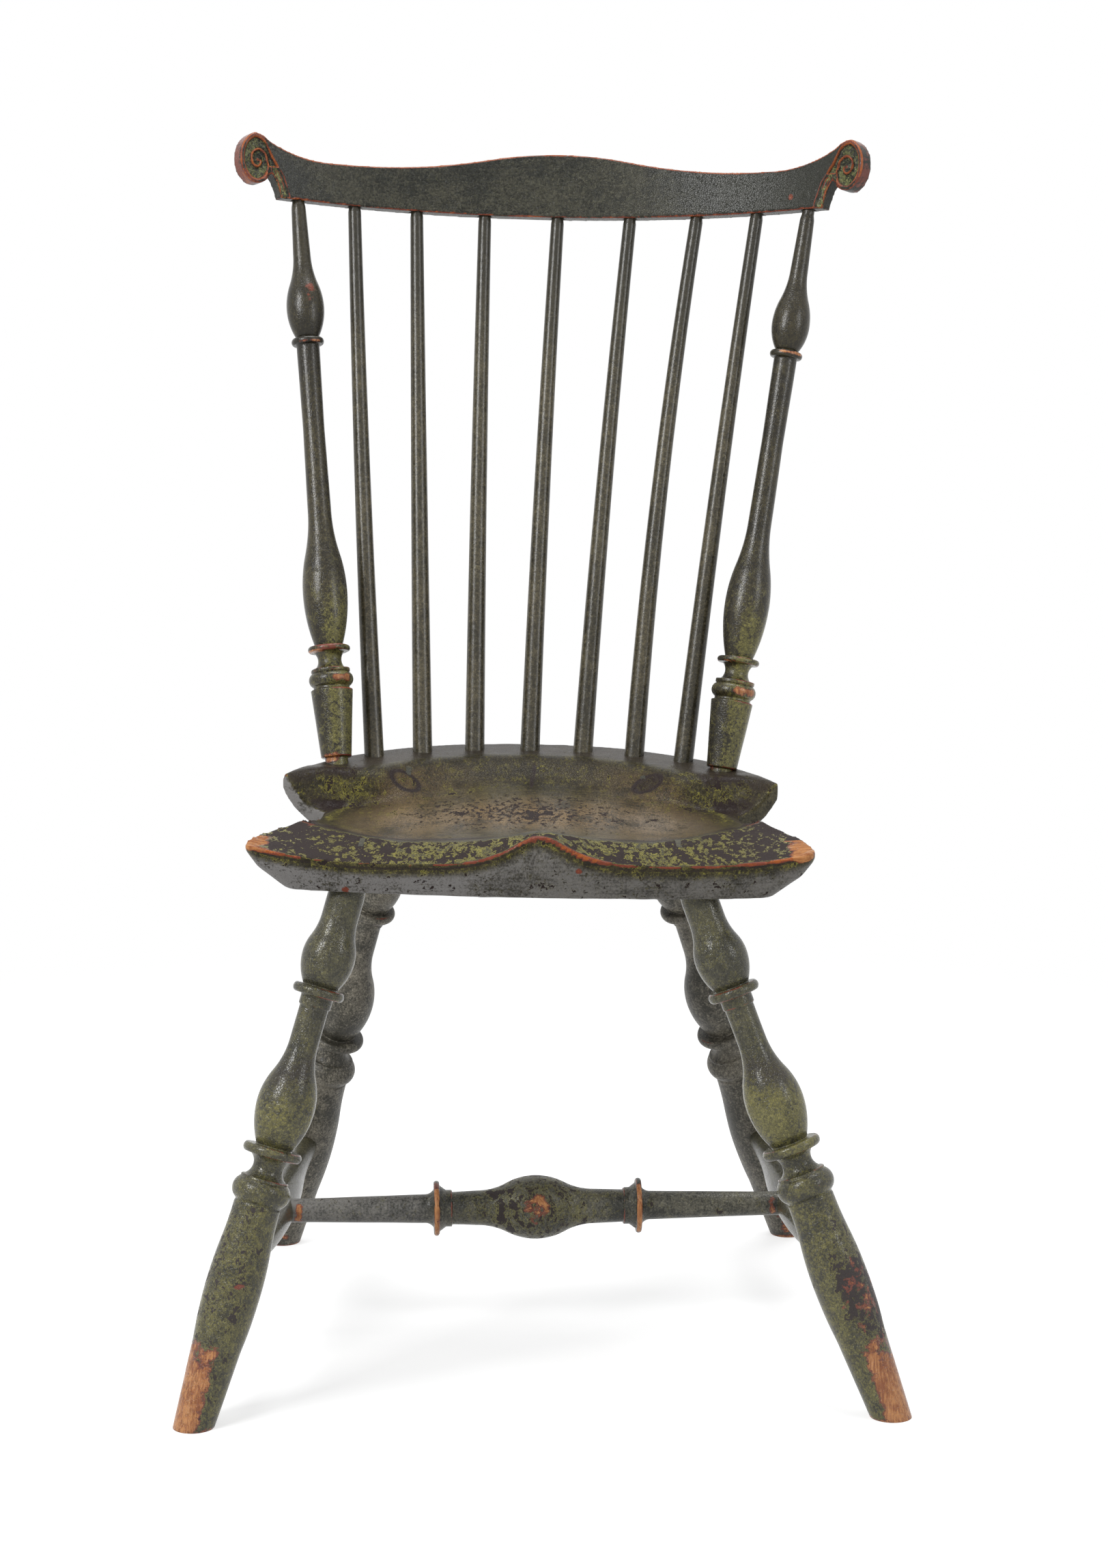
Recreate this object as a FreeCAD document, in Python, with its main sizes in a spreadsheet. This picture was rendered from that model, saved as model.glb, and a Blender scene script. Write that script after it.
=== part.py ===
import FreeCAD, Part
import math
import os

import Sketcher
from FreeCAD import Placement, Rotation, Vector

doc = FreeCAD.newDocument("fan_back_windsor_side_chair")

# Driving dimensions in millimetres and degrees.
# The chair stands in its own seat frame first: x to the sitter's left as seen from the front
# (rightwards in a front view), y to the back, z up from the floor.
sizes = {
    # seat blank, seen from above
    "SeatRimHeight": 446.6,
    "SeatThickness": 48.2,
    "SeatShift": 1.3,
    "SeatRoll": 0.9,
    "SeatBackReach": 197.5,
    "EarReach": 200.6,
    "EarBack": 57.0,
    "NotchBack": 47.0,
    "WaistReach": 175.5,
    "WaistBack": 20.0,
    "TipReach": 216.0,
    "TipForward": 150.0,
    "FrontCornerReach": 202.0,
    "FrontCornerForward": 166.0,
    "FrontBow": 12.5,
    "TipRoundRadius": 14.0,
    # seat underside bevel, in two flats
    "ChineDrop": 14.6,
    "MidBevelDrop": 28.6,
    "MidBevelInset": 9.0,
    "BottomBevelInset": 30.0,
    # saddle, heights against the flat rim
    "GutterRadius": 165.0,
    "EarGutterRadius": 211.0,
    "DishWallWidth": 44.0,
    "EarWallWidth": 24.0,
    "DishCentreDepth": 16.6,
    "DishSideDepth": 26.0,
    "PommelForward": 166.0,
    "PommelShift": 7.5,
    "PommelRise": 6.0,
    "PommelSpread": 33.0,
    "RollCrestDepth": 12.6,
    "RollCrestWidth": 46.0,
    "RollCrestSet": 46.0,
    "RollSweep": 73.0,
    "RollSweepStart": 90.0,
    "RollSweepSpan": 85.0,
    "WingDrop": 2.5,
    "WingDropStart": 120.0,
    "FrontRidgeDepth": 19.3,
    "TipRise": 11.3,
    "TipRiseStart": 120.0,
    # legs: where their axes pass the floor and the seat's underside
    "FrontFootReach": 266.6,
    "FrontFootForward": 207.8,
    "RearFootReach": 220.7,
    "RearFootBack": 244.0,
    "FrontLegReach": 133.0,
    "FrontLegForward": 126.3,
    "RearLegReach": 109.8,
    "RearLegBack": 108.1,
    # the racked stance of an old chair
    "LegTopShift": 4.6,
    "FeetShift": 10.0,
    "FeetTurn": 0.8,
    "FrontLeftStep": 12.0,
    "FrontRightStep": 8.2,
    "FrontRightFootShift": 0.8,
    "RearLeftStep": 10.8,
    "RearRightStep": 11.0,
    "FrontLeftTopStep": 1.2,
    "FrontRightTopStep": 1.2,
    "RearLeftTopStep": 5.4,
    "RearRightTopStep": 0.2,
    "FrontLeftPatternRise": -1.2,
    "FrontRightPatternRise": 2.3,
    "RearLeftPatternRise": -4.5,
    "RearRightPatternRise": 0.5,
    # leg turning, heights along the axis from the floor on a leg of the pattern's length
    "LegPatternLength": 428.0,
    "LegFootRadius": 14.5,
    "LegTaperRadius": 19.1,
    "LegTaperHeight": 66.0,
    "LegSwellRadius": 21.7,
    "LegSwellHeight": 111.0,
    "LegShankRadius": 18.2,
    "LegShankHeight": 176.0,
    "LegGrooveDepth": 0.9,
    "LegGrooveWidth": 2.2,
    "LegBeadRadius": 22.7,
    "LegBeadHeight": 187.0,
    "LegBeadLength": 17.6,
    "LegFilletRadius": 18.7,
    "LegFilletLength": 1.8,
    "LegCoveRadius": 11.8,
    "LegCoveMouthRadius": 16.5,
    "LegDiscRadius": 23.0,
    "LegDiscHeight": 218.0,
    "LegDiscLength": 7.2,
    "LegDiscRoundDepth": 1.7,
    "LegVaseFootRadius": 13.8,
    "LegVaseRadius": 22.5,
    "LegVaseHeight": 254.5,
    "LegNeckRadius": 11.3,
    "LegNeckHeight": 305.0,
    "LegCollarRadius": 12.5,
    "LegCollarHeight": 333.0,
    "LegUpperDiscRadius": 20.1,
    "LegUpperDiscHeight": 345.0,
    "LegUpperDiscLength": 7.2,
    "LegBallFootRadius": 13.2,
    "LegBallRadius": 20.5,
    "LegBallHeight": 372.5,
    "LegTopRadius": 14.2,
    "LegTopHeight": 403.0,
    "LegTenonShoulder": 8.0,
    "LegTenonEndRadius": 9.3,
    "LegTenonLength": 52.0,
    # wedges in the leg tenons
    "WedgeHeadThickness": 3.4,
    "WedgeTipThickness": 0.9,
    "WedgeDepth": 30.0,
    # stretchers
    "LeftStretcherHeight": 100.0,
    "RightStretcherHeight": 102.0,
    "StretcherTenonRadius": 9.6,
    "SideStretcherSetback": 4.0,
    "SideStretcherBulbRadius": 17.5,
    "SideStretcherStraight": 40.0,
    "MedialSetback": 5.0,
    "MedialTenonLength": 26.0,
    "MedialDiscInnerRadius": 11.6,
    "MedialDiscRadius": 22.3,
    "MedialLeftDiscReach": 80.2,
    "MedialRightDiscReach": 83.4,
    "MedialDiscLength": 4.6,
    "MedialDiscRoundDepth": 1.2,
    "MedialCoveLength": 7.0,
    "MedialFlareRadius": 16.4,
    "MedialFlareLength": 5.2,
    "MedialCollarRadius": 14.9,
    "MedialCollarLength": 5.0,
    "MedialShaftRadius": 13.1,
    "MedialBulbFootRadius": 14.0,
    "MedialBulbReach": 47.0,
    "MedialBulbRadius": 25.7,
    # back posts
    "PostReach": 156.6,
    "PostBack": 105.4,
    "PostTopReach": 210.7,
    "LeftPostStep": 0.8,
    "LeftPostTopStep": 1.8,
    "LeftPostDrop": 1.0,
    "RightPostDrop": 3.7,
    "RightBallDrop": 3.0,
    "PostPatternLength": 466.0,
    "PostTenonRadius": 9.4,
    "PostTenonDepth": 36.0,
    "PostShoulderHeight": 4.6,
    "PostPlugFootRadius": 12.4,
    "PostPlugRadius": 17.2,
    "PostPlugHeight": 60.0,
    "PostGrooveDepth": 2.2,
    "PostGrooveWidth": 2.4,
    "PostBeadRadius": 18.2,
    "PostBeadBaseRadius": 14.6,
    "PostBeadLength": 11.6,
    "PostFilletRadius": 15.9,
    "PostFilletLength": 3.2,
    "PostCoveRadius": 9.6,
    "PostCoveMouthRadius": 12.6,
    "PostDiscRadius": 17.3,
    "PostDiscHeight": 93.3,
    "PostDiscLength": 4.8,
    "PostDiscRoundDepth": 1.2,
    "PostVaseFootRadius": 11.2,
    "PostVaseRadius": 18.3,
    "PostVaseHeight": 140.0,
    "PostNeckRadius": 9.7,
    "PostNeckHeight": 208.0,
    "PostShaftRadius": 8.9,
    "PostShaftHeight": 275.0,
    "PostCollarRadius": 9.5,
    "PostCollarHeight": 342.0,
    "PostRingRadius": 13.5,
    "PostRingHeight": 348.5,
    "PostRingLength": 5.6,
    "PostRingRoundDepth": 1.4,
    "PostBallFootRadius": 8.9,
    "PostBallRadius": 15.6,
    "PostBallHeight": 376.5,
    "PostTipRadius": 7.3,
    "PostTipHeight": 422.0,
    "PostCrestRadius": 5.9,
    "PostCrestTenonRadius": 5.0,
    "PostCrestTenonDepth": 24.0,
    "PostCrestNeckLength": 4.0,
    # spindles, numbered outwards from the middle one
    "SpindleOneReach": 44.8,
    "SpindleTwoReach": 88.5,
    "SpindleThreeReach": 127.7,
    "SpindleMiddleBack": 174.0,
    "SpindleOneBack": 170.5,
    "SpindleTwoBack": 156.3,
    "SpindleThreeBack": 137.2,
    "SpindleOneTopReach": 61.0,
    "SpindleTwoTopReach": 117.3,
    "SpindleThreeTopReach": 167.8,
    "SpindleStep1": 0.5,
    "SpindleStep2": 0.4,
    "SpindleStep3": 1.1,
    "SpindleStep4": 0.0,
    "SpindleStep5": 0.8,
    "SpindleStep6": 2.2,
    "SpindleStep7": 1.3,
    "SpindleBow1": 1.4,
    "SpindleBow2": 0.4,
    "SpindleBow3": 0.8,
    "SpindleBow4": 1.2,
    "SpindleBow5": 1.7,
    "SpindleBow6": 4.4,
    "SpindleBow7": 1.6,
    "SpindleSeatRadius": 8.1,
    "SpindleSeatDepth": 30.0,
    "SpindleCrestRadius": 5.4,
    "SpindleCrestTenonRadius": 4.8,
    "SpindleCrestTenonDepth": 20.0,
    "SpindleCrestNeckLength": 4.0,
    # crest rail, bent on a round form and laid back by its rake
    "CrestHeight": 875.5,
    "CrestBack": 295.7,
    "CrestShift": 21.5,
    "CrestTurn": 4.4,
    "CrestRoll": 0.45,
    "CrestRake": 16.0,
    "CrestBendRadius": 448.3,
    "CrestThickness": 14.0,
    "CrestCrownHeight": 53.3,
    "CrestTroughHeight": 34.1,
    "CrestTroughReach": 184.4,
    "CrestNeckRadius": 122.0,
    "CrestNeckInset": 14.0,
    "CrestNeckHeight": 48.4,
    "LeftVoluteReach": 250.5,
    "RightVoluteReach": 247.7,
    "LeftVoluteDrop": 2.3,
    "RightVoluteDrop": -0.3,
    "VoluteHalfWidth": 11.8,
    "VoluteTop": 54.0,
    "VoluteMiddle": 33.0,
    "VoluteBottom": 12.4,
    "VoluteSideRadius": 22.0,
    "VoluteShoulderRadius": 20.0,
    "VoluteHookRadius": 13.0,
    "NotchInset": 16.5,
    "NotchHeight": 23.0,
    "EndCornerInset": 27.0,
    "EndCurveRadius": 42.0,
    # pegs through the crest into the posts
    "PegRadius": 2.2,
    "PegHeight": 11.5,
    # play in the joints, and how far a cutting shape runs past what it cuts
    "JointClearance": 0.15,
    "PegClearance": 0.1,
    "BoreEndClearance": 0.4,
    "CutOverrun": 12.0,
}

# Ratios, each of the size named in its comment.
upperTurnShare = 0.48        # of the leg vase's fall, where its curve reverses
ballTurnShare = 0.43         # of the leg ball's fall
shankTurnShare = 0.5         # of the leg shank's fall
postTurnShare = 0.46         # of the post vase's fall
postBallTurnShare = 0.44     # of the post ball's fall
bulbTurnShare = 0.5          # of the medial bulb's fall
sideTurnShare = 0.5          # of the side stretcher's fall
crownTurnShare = 0.32        # of the crest's fall from crown to trough
wingTurnShare = 0.5          # of the seat side's sweep from waist to tip
frontInsetShare = 0.72       # of a bevel's inset, at the front edge
backInsetShare = 0.75        # of a bevel's inset, at the back edge
rollSweepPowerShare = 1.6    # power that bends the roll's crest back to the waist
pommelPowerShare = 1.45      # power that shapes the pommel's flanks
rollPowerShare = 1.5         # power that shapes the front roll
ridgeLevelShare = 0.75       # of the seat's roll, that the front ridge doesn't follow
floorLevelShare = 0.5        # of the seat's roll, that the dish floor doesn't follow
tipSpanShare = 0.43          # of the tip reach, over which the tip rises
spindleSections = 4          # equal steps along a spindle's bowed shaft

sheet = doc.addObject("Spreadsheet::Sheet", "Sizes")


def writeCell(row, alias, value):
    sheet.set("A%d" % row, alias)
    sheet.set("B%d" % row, repr(value))
    sheet.setAlias("B%d" % row, alias)


for rowNumber, sizeName in enumerate(sizes, 1):
    writeCell(rowNumber, sizeName, sizes[sizeName])
doc.recompute()


# A size known both as a number and as the sheet formula behind it.
class Size:
    def __init__(self, value, formula):
        self.value = value
        self.formula = formula

    def __add__(self, other):
        other = sized(other)
        return Size(self.value + other.value, "(%s + %s)" % (self.formula, other.formula))

    def __sub__(self, other):
        other = sized(other)
        return Size(self.value - other.value, "(%s - %s)" % (self.formula, other.formula))

    def __mul__(self, other):
        other = sized(other)
        return Size(self.value * other.value, "(%s * %s)" % (self.formula, other.formula))

    def __truediv__(self, other):
        other = sized(other)
        return Size(self.value / other.value, "(%s / %s)" % (self.formula, other.formula))

    def __neg__(self):
        return Size(-self.value, "(0 - %s)" % self.formula)


def sized(number):
    if isinstance(number, Size):
        return number
    return Size(float(number), repr(float(number)))


def named(alias):
    return Size(float(sheet.get(alias)), "Sizes.%s" % alias)


def root(square):
    return Size(math.sqrt(square.value), "sqrt(%s)" % square.formula)


def arcSine(ratio):
    return Size(math.degrees(math.asin(ratio.value)), "asin(%s)" % ratio.formula)


def sine(angle):
    return Size(math.sin(math.radians(angle.value)), "sin(%s)" % angle.formula)


def number(alias):
    return float(sheet.get(alias))


def storeLength(alias, value):
    global rowNumber
    rowNumber += 1
    writeCell(rowNumber, alias, value)
    return Size(value, "Sizes.%s" % alias)


nothing = sized(0)
clearance = named("JointClearance")
overrun = named("CutOverrun")


# Radius of the arc over a chord that rises by the given sagitta.
def arcRadius(halfChord, sagitta):
    return (halfChord * halfChord + sagitta * sagitta) / (sagitta * 2)


# Points and radii of an S-curve that leaves and arrives parallel to the v axis.
def sCurve(start, end, turnShare):
    fall = end[0] - start[0]
    run = end[1] - start[1]
    size = fall if fall.value > 0 else -fall
    reach = (fall * fall + run * run) / (size * 2)
    turn = (start[0] + fall * turnShare, start[1] + run * turnShare)
    return turn, reach * turnShare, reach * (1 - turnShare)


# A closed outline in a sketch. Each step is (u, v) for a line to that point,
# or (u, v, radius, side) for an arc to it, whose centre lies to the left (1) or right (-1).
def drawOutline(body, name, planeRole, steps, level=None):
    sketch = body.newObject("Sketcher::SketchObject", name)
    planes = [f for f in body.Origin.OriginFeatures if f.Role == planeRole]
    sketch.AttachmentSupport = [(planes[0], "")]
    sketch.MapMode = "FlatFace"
    if level is not None:
        sketch.AttachmentOffset = Placement(Vector(0, 0, level.value), Rotation())
        sketch.setExpression("AttachmentOffset.Base.z", level.formula)
    shapes = []
    ends = []
    radii = []
    for index, step in enumerate(steps):
        before = steps[index - 1]
        a = Vector(before[0].value, before[1].value, 0)
        b = Vector(step[0].value, step[1].value, 0)
        if len(step) == 2:
            shapes.append(Part.LineSegment(a, b))
            ends.append((1, 2))
            continue
        radius = step[2].value
        along = b.sub(a)
        across = Vector(-along.y, along.x, 0).normalize()
        rise = math.sqrt(max(radius * radius - along.Length * along.Length / 4, 0))
        centre = a.add(b).multiply(0.5).add(across.multiply(rise * step[3]))
        angleA = math.atan2(a.y - centre.y, a.x - centre.x)
        angleB = math.atan2(b.y - centre.y, b.x - centre.x)
        circle = Part.Circle(centre, Vector(0, 0, 1), radius)
        if step[3] > 0:
            shapes.append(Part.ArcOfCircle(circle, angleA, angleB))
            ends.append((1, 2))
        else:
            shapes.append(Part.ArcOfCircle(circle, angleB, angleA))
            ends.append((2, 1))
        radii.append((index, step[2]))
    sketch.addGeometry(shapes, False)
    rules = []
    formulas = []
    for index, step in enumerate(steps):
        following = (index + 1) % len(steps)
        rules.append(Sketcher.Constraint("Coincident", index, ends[index][1],
                                         following, ends[following][0]))
        for kind, axis, value in (("DistanceX", -2, step[0]), ("DistanceY", -1, step[1])):
            if value is nothing:
                rules.append(Sketcher.Constraint("PointOnObject", index, ends[index][1], axis))
            elif value.value > 0:
                formulas.append((len(rules), value.formula))
                rules.append(Sketcher.Constraint(kind, -1, 1, index, ends[index][1], value.value))
            else:
                formulas.append((len(rules), (-value).formula))
                rules.append(Sketcher.Constraint(kind, index, ends[index][1], -1, 1, -value.value))
    for index, radius in radii:
        formulas.append((len(rules), radius.formula))
        rules.append(Sketcher.Constraint("Radius", index, radius.value))
    sketch.addConstraint(rules)
    for index, formula in formulas:
        sketch.setExpression("Constraints[%d]" % index, formula)
    return sketch


def addTurning(label, steps, placement):
    body = doc.addObject("PartDesign::Body", label + "_turning")
    sketch = drawOutline(body, label + "_profile", "XZ_Plane", steps)
    turning = body.newObject("PartDesign::Revolution", label + "_revolution")
    turning.Profile = sketch
    turning.ReferenceAxis = (sketch, ["V_Axis"])
    turning.Angle = 360
    sketch.Visibility = False
    body.Placement = placement
    return body


def addBore(label, radius, start, end, endRadius=None):
    length = storeLength("Length_" + label, end.sub(start).Length)
    if endRadius is None:
        bore = doc.addObject("Part::Cylinder", label)
        bore.setExpression("Radius", radius.formula)
    else:
        bore = doc.addObject("Part::Cone", label)
        bore.setExpression("Radius1", radius.formula)
        bore.setExpression("Radius2", endRadius.formula)
    bore.setExpression("Height", length.formula)
    bore.Placement = alongAxis(start, end)
    return bore


def alongAxis(start, end):
    return Placement(start, Rotation(Vector(0, 0, 1), end.sub(start)))


def addCut(label, base, tools):
    cut = doc.addObject("Part::Cut", label)
    cut.Label = label
    cut.Base = base
    if len(tools) == 1:
        cut.Tool = tools[0]
    else:
        group = doc.addObject("Part::Compound", label + "_tools")
        group.Links = tools
        cut.Tool = group
    return cut


def onAxis(start, end, distance):
    along = end.sub(start).normalize()
    return start.add(along.multiply(distance))


# Heights and the point where the part's own origin lies in the seat frame.
rimHeight = number("SeatRimHeight")
undersideHeight = rimHeight - number("SeatThickness")
sides = {"left": -1, "right": 1}


def turned(x, y, degrees):
    angle = math.radians(degrees)
    return (x * math.cos(angle) - y * math.sin(angle), x * math.sin(angle) + y * math.cos(angle))


def footSpot(end, side):
    steps = {"front_left": -number("FrontLeftStep"), "front_right": number("FrontRightStep"),
             "rear_left": -number("RearLeftStep"), "rear_right": number("RearRightStep")}
    if end == "front":
        x, y = number("FrontFootReach"), -number("FrontFootForward")
    else:
        x, y = number("RearFootReach"), number("RearFootBack")
    x, y = turned(sides[side] * x, y, number("FeetTurn"))
    if end + side == "frontright":
        x += number("FrontRightFootShift")
    return x + number("FeetShift"), y + steps[end + "_" + side]


seatPlace = Placement(Vector(0, 0, 0), Rotation(Vector(0, 1, 0), number("SeatRoll")))
crestRadius = number("CrestBendRadius")
halfCrest = number("CrestThickness") / 2
rake = math.radians(number("CrestRake"))
crestTopBack = (number("CrestBack") + number("CrestCrownHeight") * math.sin(rake)
                + halfCrest * math.cos(rake))
frontFootEdge = footSpot("front", "left")[1] - number("LegFootRadius")
originX = (footSpot("front", "left")[0] + footSpot("front", "right")[0]) / 2
originY = (crestTopBack + frontFootEdge) / 2


def spot(x, y, z):
    return Vector(x - originX, y - originY, z)


seatPlace.Base = spot(number("SeatShift"), 0, rimHeight)


# A point given from the middle of the seat, at a height against the rim.
def onSeat(x, y, z):
    return seatPlace.multVec(Vector(x - number("SeatShift"), y, z))


# Seat: a shield-shaped blank, bevelled underneath, hollowed by the saddle.
def seatOutline(inset):
    front = inset * frontInsetShare
    ear = (named("EarReach") - inset, named("EarBack"))
    notch = (named("WaistReach") - inset, named("NotchBack"))
    waist = (named("WaistReach") - inset, named("WaistBack"))
    tip = (named("TipReach") - inset, -(named("TipForward") - front))
    corner = (named("FrontCornerReach") - inset, -(named("FrontCornerForward") - front))
    back = named("SeatBackReach") - inset * backInsetShare
    backRadius = arcRadius(ear[0], back - ear[1])
    frontRadius = arcRadius(corner[0], named("FrontBow"))
    turn, nearWaist, nearTip = sCurve(waist, tip, wingTurnShare)
    tipRound = named("TipRoundRadius")
    return [
        (-ear[0], ear[1], backRadius, 1),
        (-notch[0], notch[1]),
        (-waist[0], waist[1]),
        (-turn[0], turn[1], nearWaist, -1),
        (-tip[0], tip[1], nearTip, 1),
        (-corner[0], corner[1], tipRound, 1),
        (corner[0], corner[1], frontRadius, 1),
        (tip[0], tip[1], tipRound, 1),
        (turn[0], turn[1], nearTip, 1),
        (waist[0], waist[1], nearWaist, -1),
        (notch[0], notch[1]),
        (ear[0], ear[1]),
    ]


def smooth(share):
    share = min(max(share, 0.0), 1.0)
    return share * share * (3 - 2 * share)


# Height of the saddle above (or, negative, below) the rim at a point of the seat frame.
def saddleHeight(x, y):
    halfWidth = number("EarReach")
    rise = number("SeatBackReach") - number("EarBack")
    backRadius = (halfWidth * halfWidth + rise * rise) / (2 * rise)
    centreY = number("SeatBackReach") - backRadius
    outward = math.hypot(x, y - centreY)
    turnAngle = math.degrees(math.atan2(abs(x), y - centreY))
    earAngle = math.degrees(math.atan2(halfWidth, number("EarBack") - centreY))
    flare = smooth((turnAngle / earAngle - 0.7) / 0.3)
    flareGain = number("EarGutterRadius") - number("GutterRadius")
    gutter = number("GutterRadius") + flareGain * flare
    gutter += number("EarGutterRadius") * max(turnAngle / earAngle - 1.12, 0)
    wallWidth = number("DishWallWidth") + (number("EarWallWidth") - number("DishWallWidth")) * flare
    wall = smooth((gutter - outward) / wallWidth)
    aside = abs(x - number("PommelShift"))
    depthGain = number("DishSideDepth") - number("DishCentreDepth")
    level = x * math.sin(math.radians(number("SeatRoll")))
    floor = number("DishCentreDepth") - level * floorLevelShare
    floor += depthGain * smooth(abs(x) / number("WaistReach"))
    knob = math.exp(-(aside / number("PommelSpread")) ** pommelPowerShare)
    rollCrest = -number("RollCrestDepth") + (number("PommelRise") + number("RollCrestDepth")) * knob
    ridge = -number("FrontRidgeDepth") + (number("PommelRise") + number("FrontRidgeDepth")) * knob
    tipRun = max(aside - number("TipRiseStart"), 0) / (number("TipReach") * tipSpanShare)
    ridge += number("TipRise") * tipRun * tipRun + level * ridgeLevelShare
    wing = (abs(x) - number("WingDropStart")) / (number("TipReach") - number("WingDropStart"))
    rollCrest += level - number("WingDrop") * smooth(wing)
    sweep = max(abs(x) - number("RollSweepStart"), 0) / number("RollSweepSpan")
    crestY = number("RollCrestSet") * (1 - knob) - number("PommelForward")
    crestY += number("RollSweep") * sweep ** rollSweepPowerShare
    frontY = -number("FrontCornerForward") - number("FrontBow") * 0.6
    if y >= crestY:
        fade = math.exp(-((y - crestY) / number("RollCrestWidth")) ** 2)
        height = -floor + (rollCrest + floor) * fade
    else:
        run = min((crestY - y) / max(crestY - frontY, 1e-9), 1.0)
        height = rollCrest + (ridge - rollCrest) * run ** rollPowerShare
    return wall * height


seatBody = doc.addObject("PartDesign::Body", "seat_blank")
undersideLevel = -named("SeatThickness")
bottomSketch = drawOutline(seatBody, "seat_bottom_outline", "XY_Plane",
                           seatOutline(named("BottomBevelInset")), undersideLevel)
middleSketch = drawOutline(seatBody, "seat_bevel_outline", "XY_Plane",
                           seatOutline(named("MidBevelInset")),
                           -named("MidBevelDrop"))
topSketch = drawOutline(seatBody, "seat_outline", "XY_Plane", seatOutline(nothing),
                        -named("ChineDrop"))
bevel = seatBody.newObject("PartDesign::AdditiveLoft", "seat_bevel")
bevel.Profile = bottomSketch
bevel.Sections = [middleSketch, topSketch]
bevel.Ruled = True
board = seatBody.newObject("PartDesign::Pad", "seat_board")
board.Profile = topSketch
boardRise = named("ChineDrop") + named("PommelRise") + overrun
board.setExpression("Length", boardRise.formula)
seatBody.Placement = seatPlace

# The hollowing tool is the saddle surface raised into a solid above the seat.
stationsAcross = 31
stationsAlong = 31
spanX = number("TipReach") + number("CutOverrun")
spanFront = number("FrontCornerForward") + number("FrontBow") + number("CutOverrun")
spanBack = number("SeatBackReach") + number("CutOverrun")
grid = []
for i in range(stationsAcross):
    line = []
    x = spanX * (2 * i / (stationsAcross - 1) - 1)
    for j in range(stationsAlong):
        y = -spanFront + (spanFront + spanBack) * j / (stationsAlong - 1)
        line.append(seatPlace.multVec(Vector(x, y, saddleHeight(x, y))))
    grid.append(line)
saddleSurface = Part.BSplineSurface()
saddleSurface.interpolate(grid)
saddleTool = doc.addObject("Part::Feature", "saddle_hollow")
toolHeight = number("SeatThickness") + number("LegTenonLength")
saddleTool.Shape = saddleSurface.toShape().extrude(seatPlace.Rotation.multVec(
    Vector(0, 0, toolHeight)))

# Legs: axes from the floor to the seat's underside, and on through the seat.
legNames = [end + "_" + side for end in ("front", "rear") for side in ("left", "right")]
legFoot = {}
legTop = {}
for legName in legNames:
    end, side = legName.split("_")
    legFoot[legName] = spot(*footSpot(end, side), 0)
    if end == "front":
        reach, back = number("FrontLegReach"), -number("FrontLegForward")
    else:
        reach, back = number("RearLegReach"), number("RearLegBack")
    step = number("%s%sTopStep" % (end.capitalize(), side.capitalize()))
    legTop[legName] = onSeat(sides[side] * reach - number("LegTopShift") + step, back,
                             -number("SeatThickness"))


# A thin disc with a rounded rim, between two heights.
def discSteps(lowHeight, highHeight, radius, roundDepth):
    edge = radius - roundDepth
    bulge = arcRadius((highHeight - lowHeight) / 2, roundDepth)
    return [(edge, lowHeight), (edge, highHeight, bulge, 1)]


def beadStep(lowHeight, highHeight, baseRadius, radius):
    bulge = arcRadius((highHeight - lowHeight) / 2, radius - baseRadius)
    return (baseRadius, highHeight, bulge, 1)


def coveStep(lowHeight, highHeight, mouthRadius, radius):
    bulge = arcRadius((highHeight - lowHeight) / 2, mouthRadius - radius)
    return (mouthRadius, highHeight, bulge, -1)


# The arc from a foot up to a belly whose side is upright there.
def bellyStep(foot, belly):
    rise = belly[1] - foot[1]
    swell = belly[0] - foot[0]
    return (belly[0], belly[1], (rise * rise + swell * swell) / (swell * 2), 1)


# From a belly down to a neck, both upright: convex, then concave.
def fallSteps(belly, neck, turnShare):
    turn, first, second = sCurve(belly, neck, turnShare)
    return [(turn[0], turn[1], first, 1), (neck[0], neck[1], second, -1)]


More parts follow.
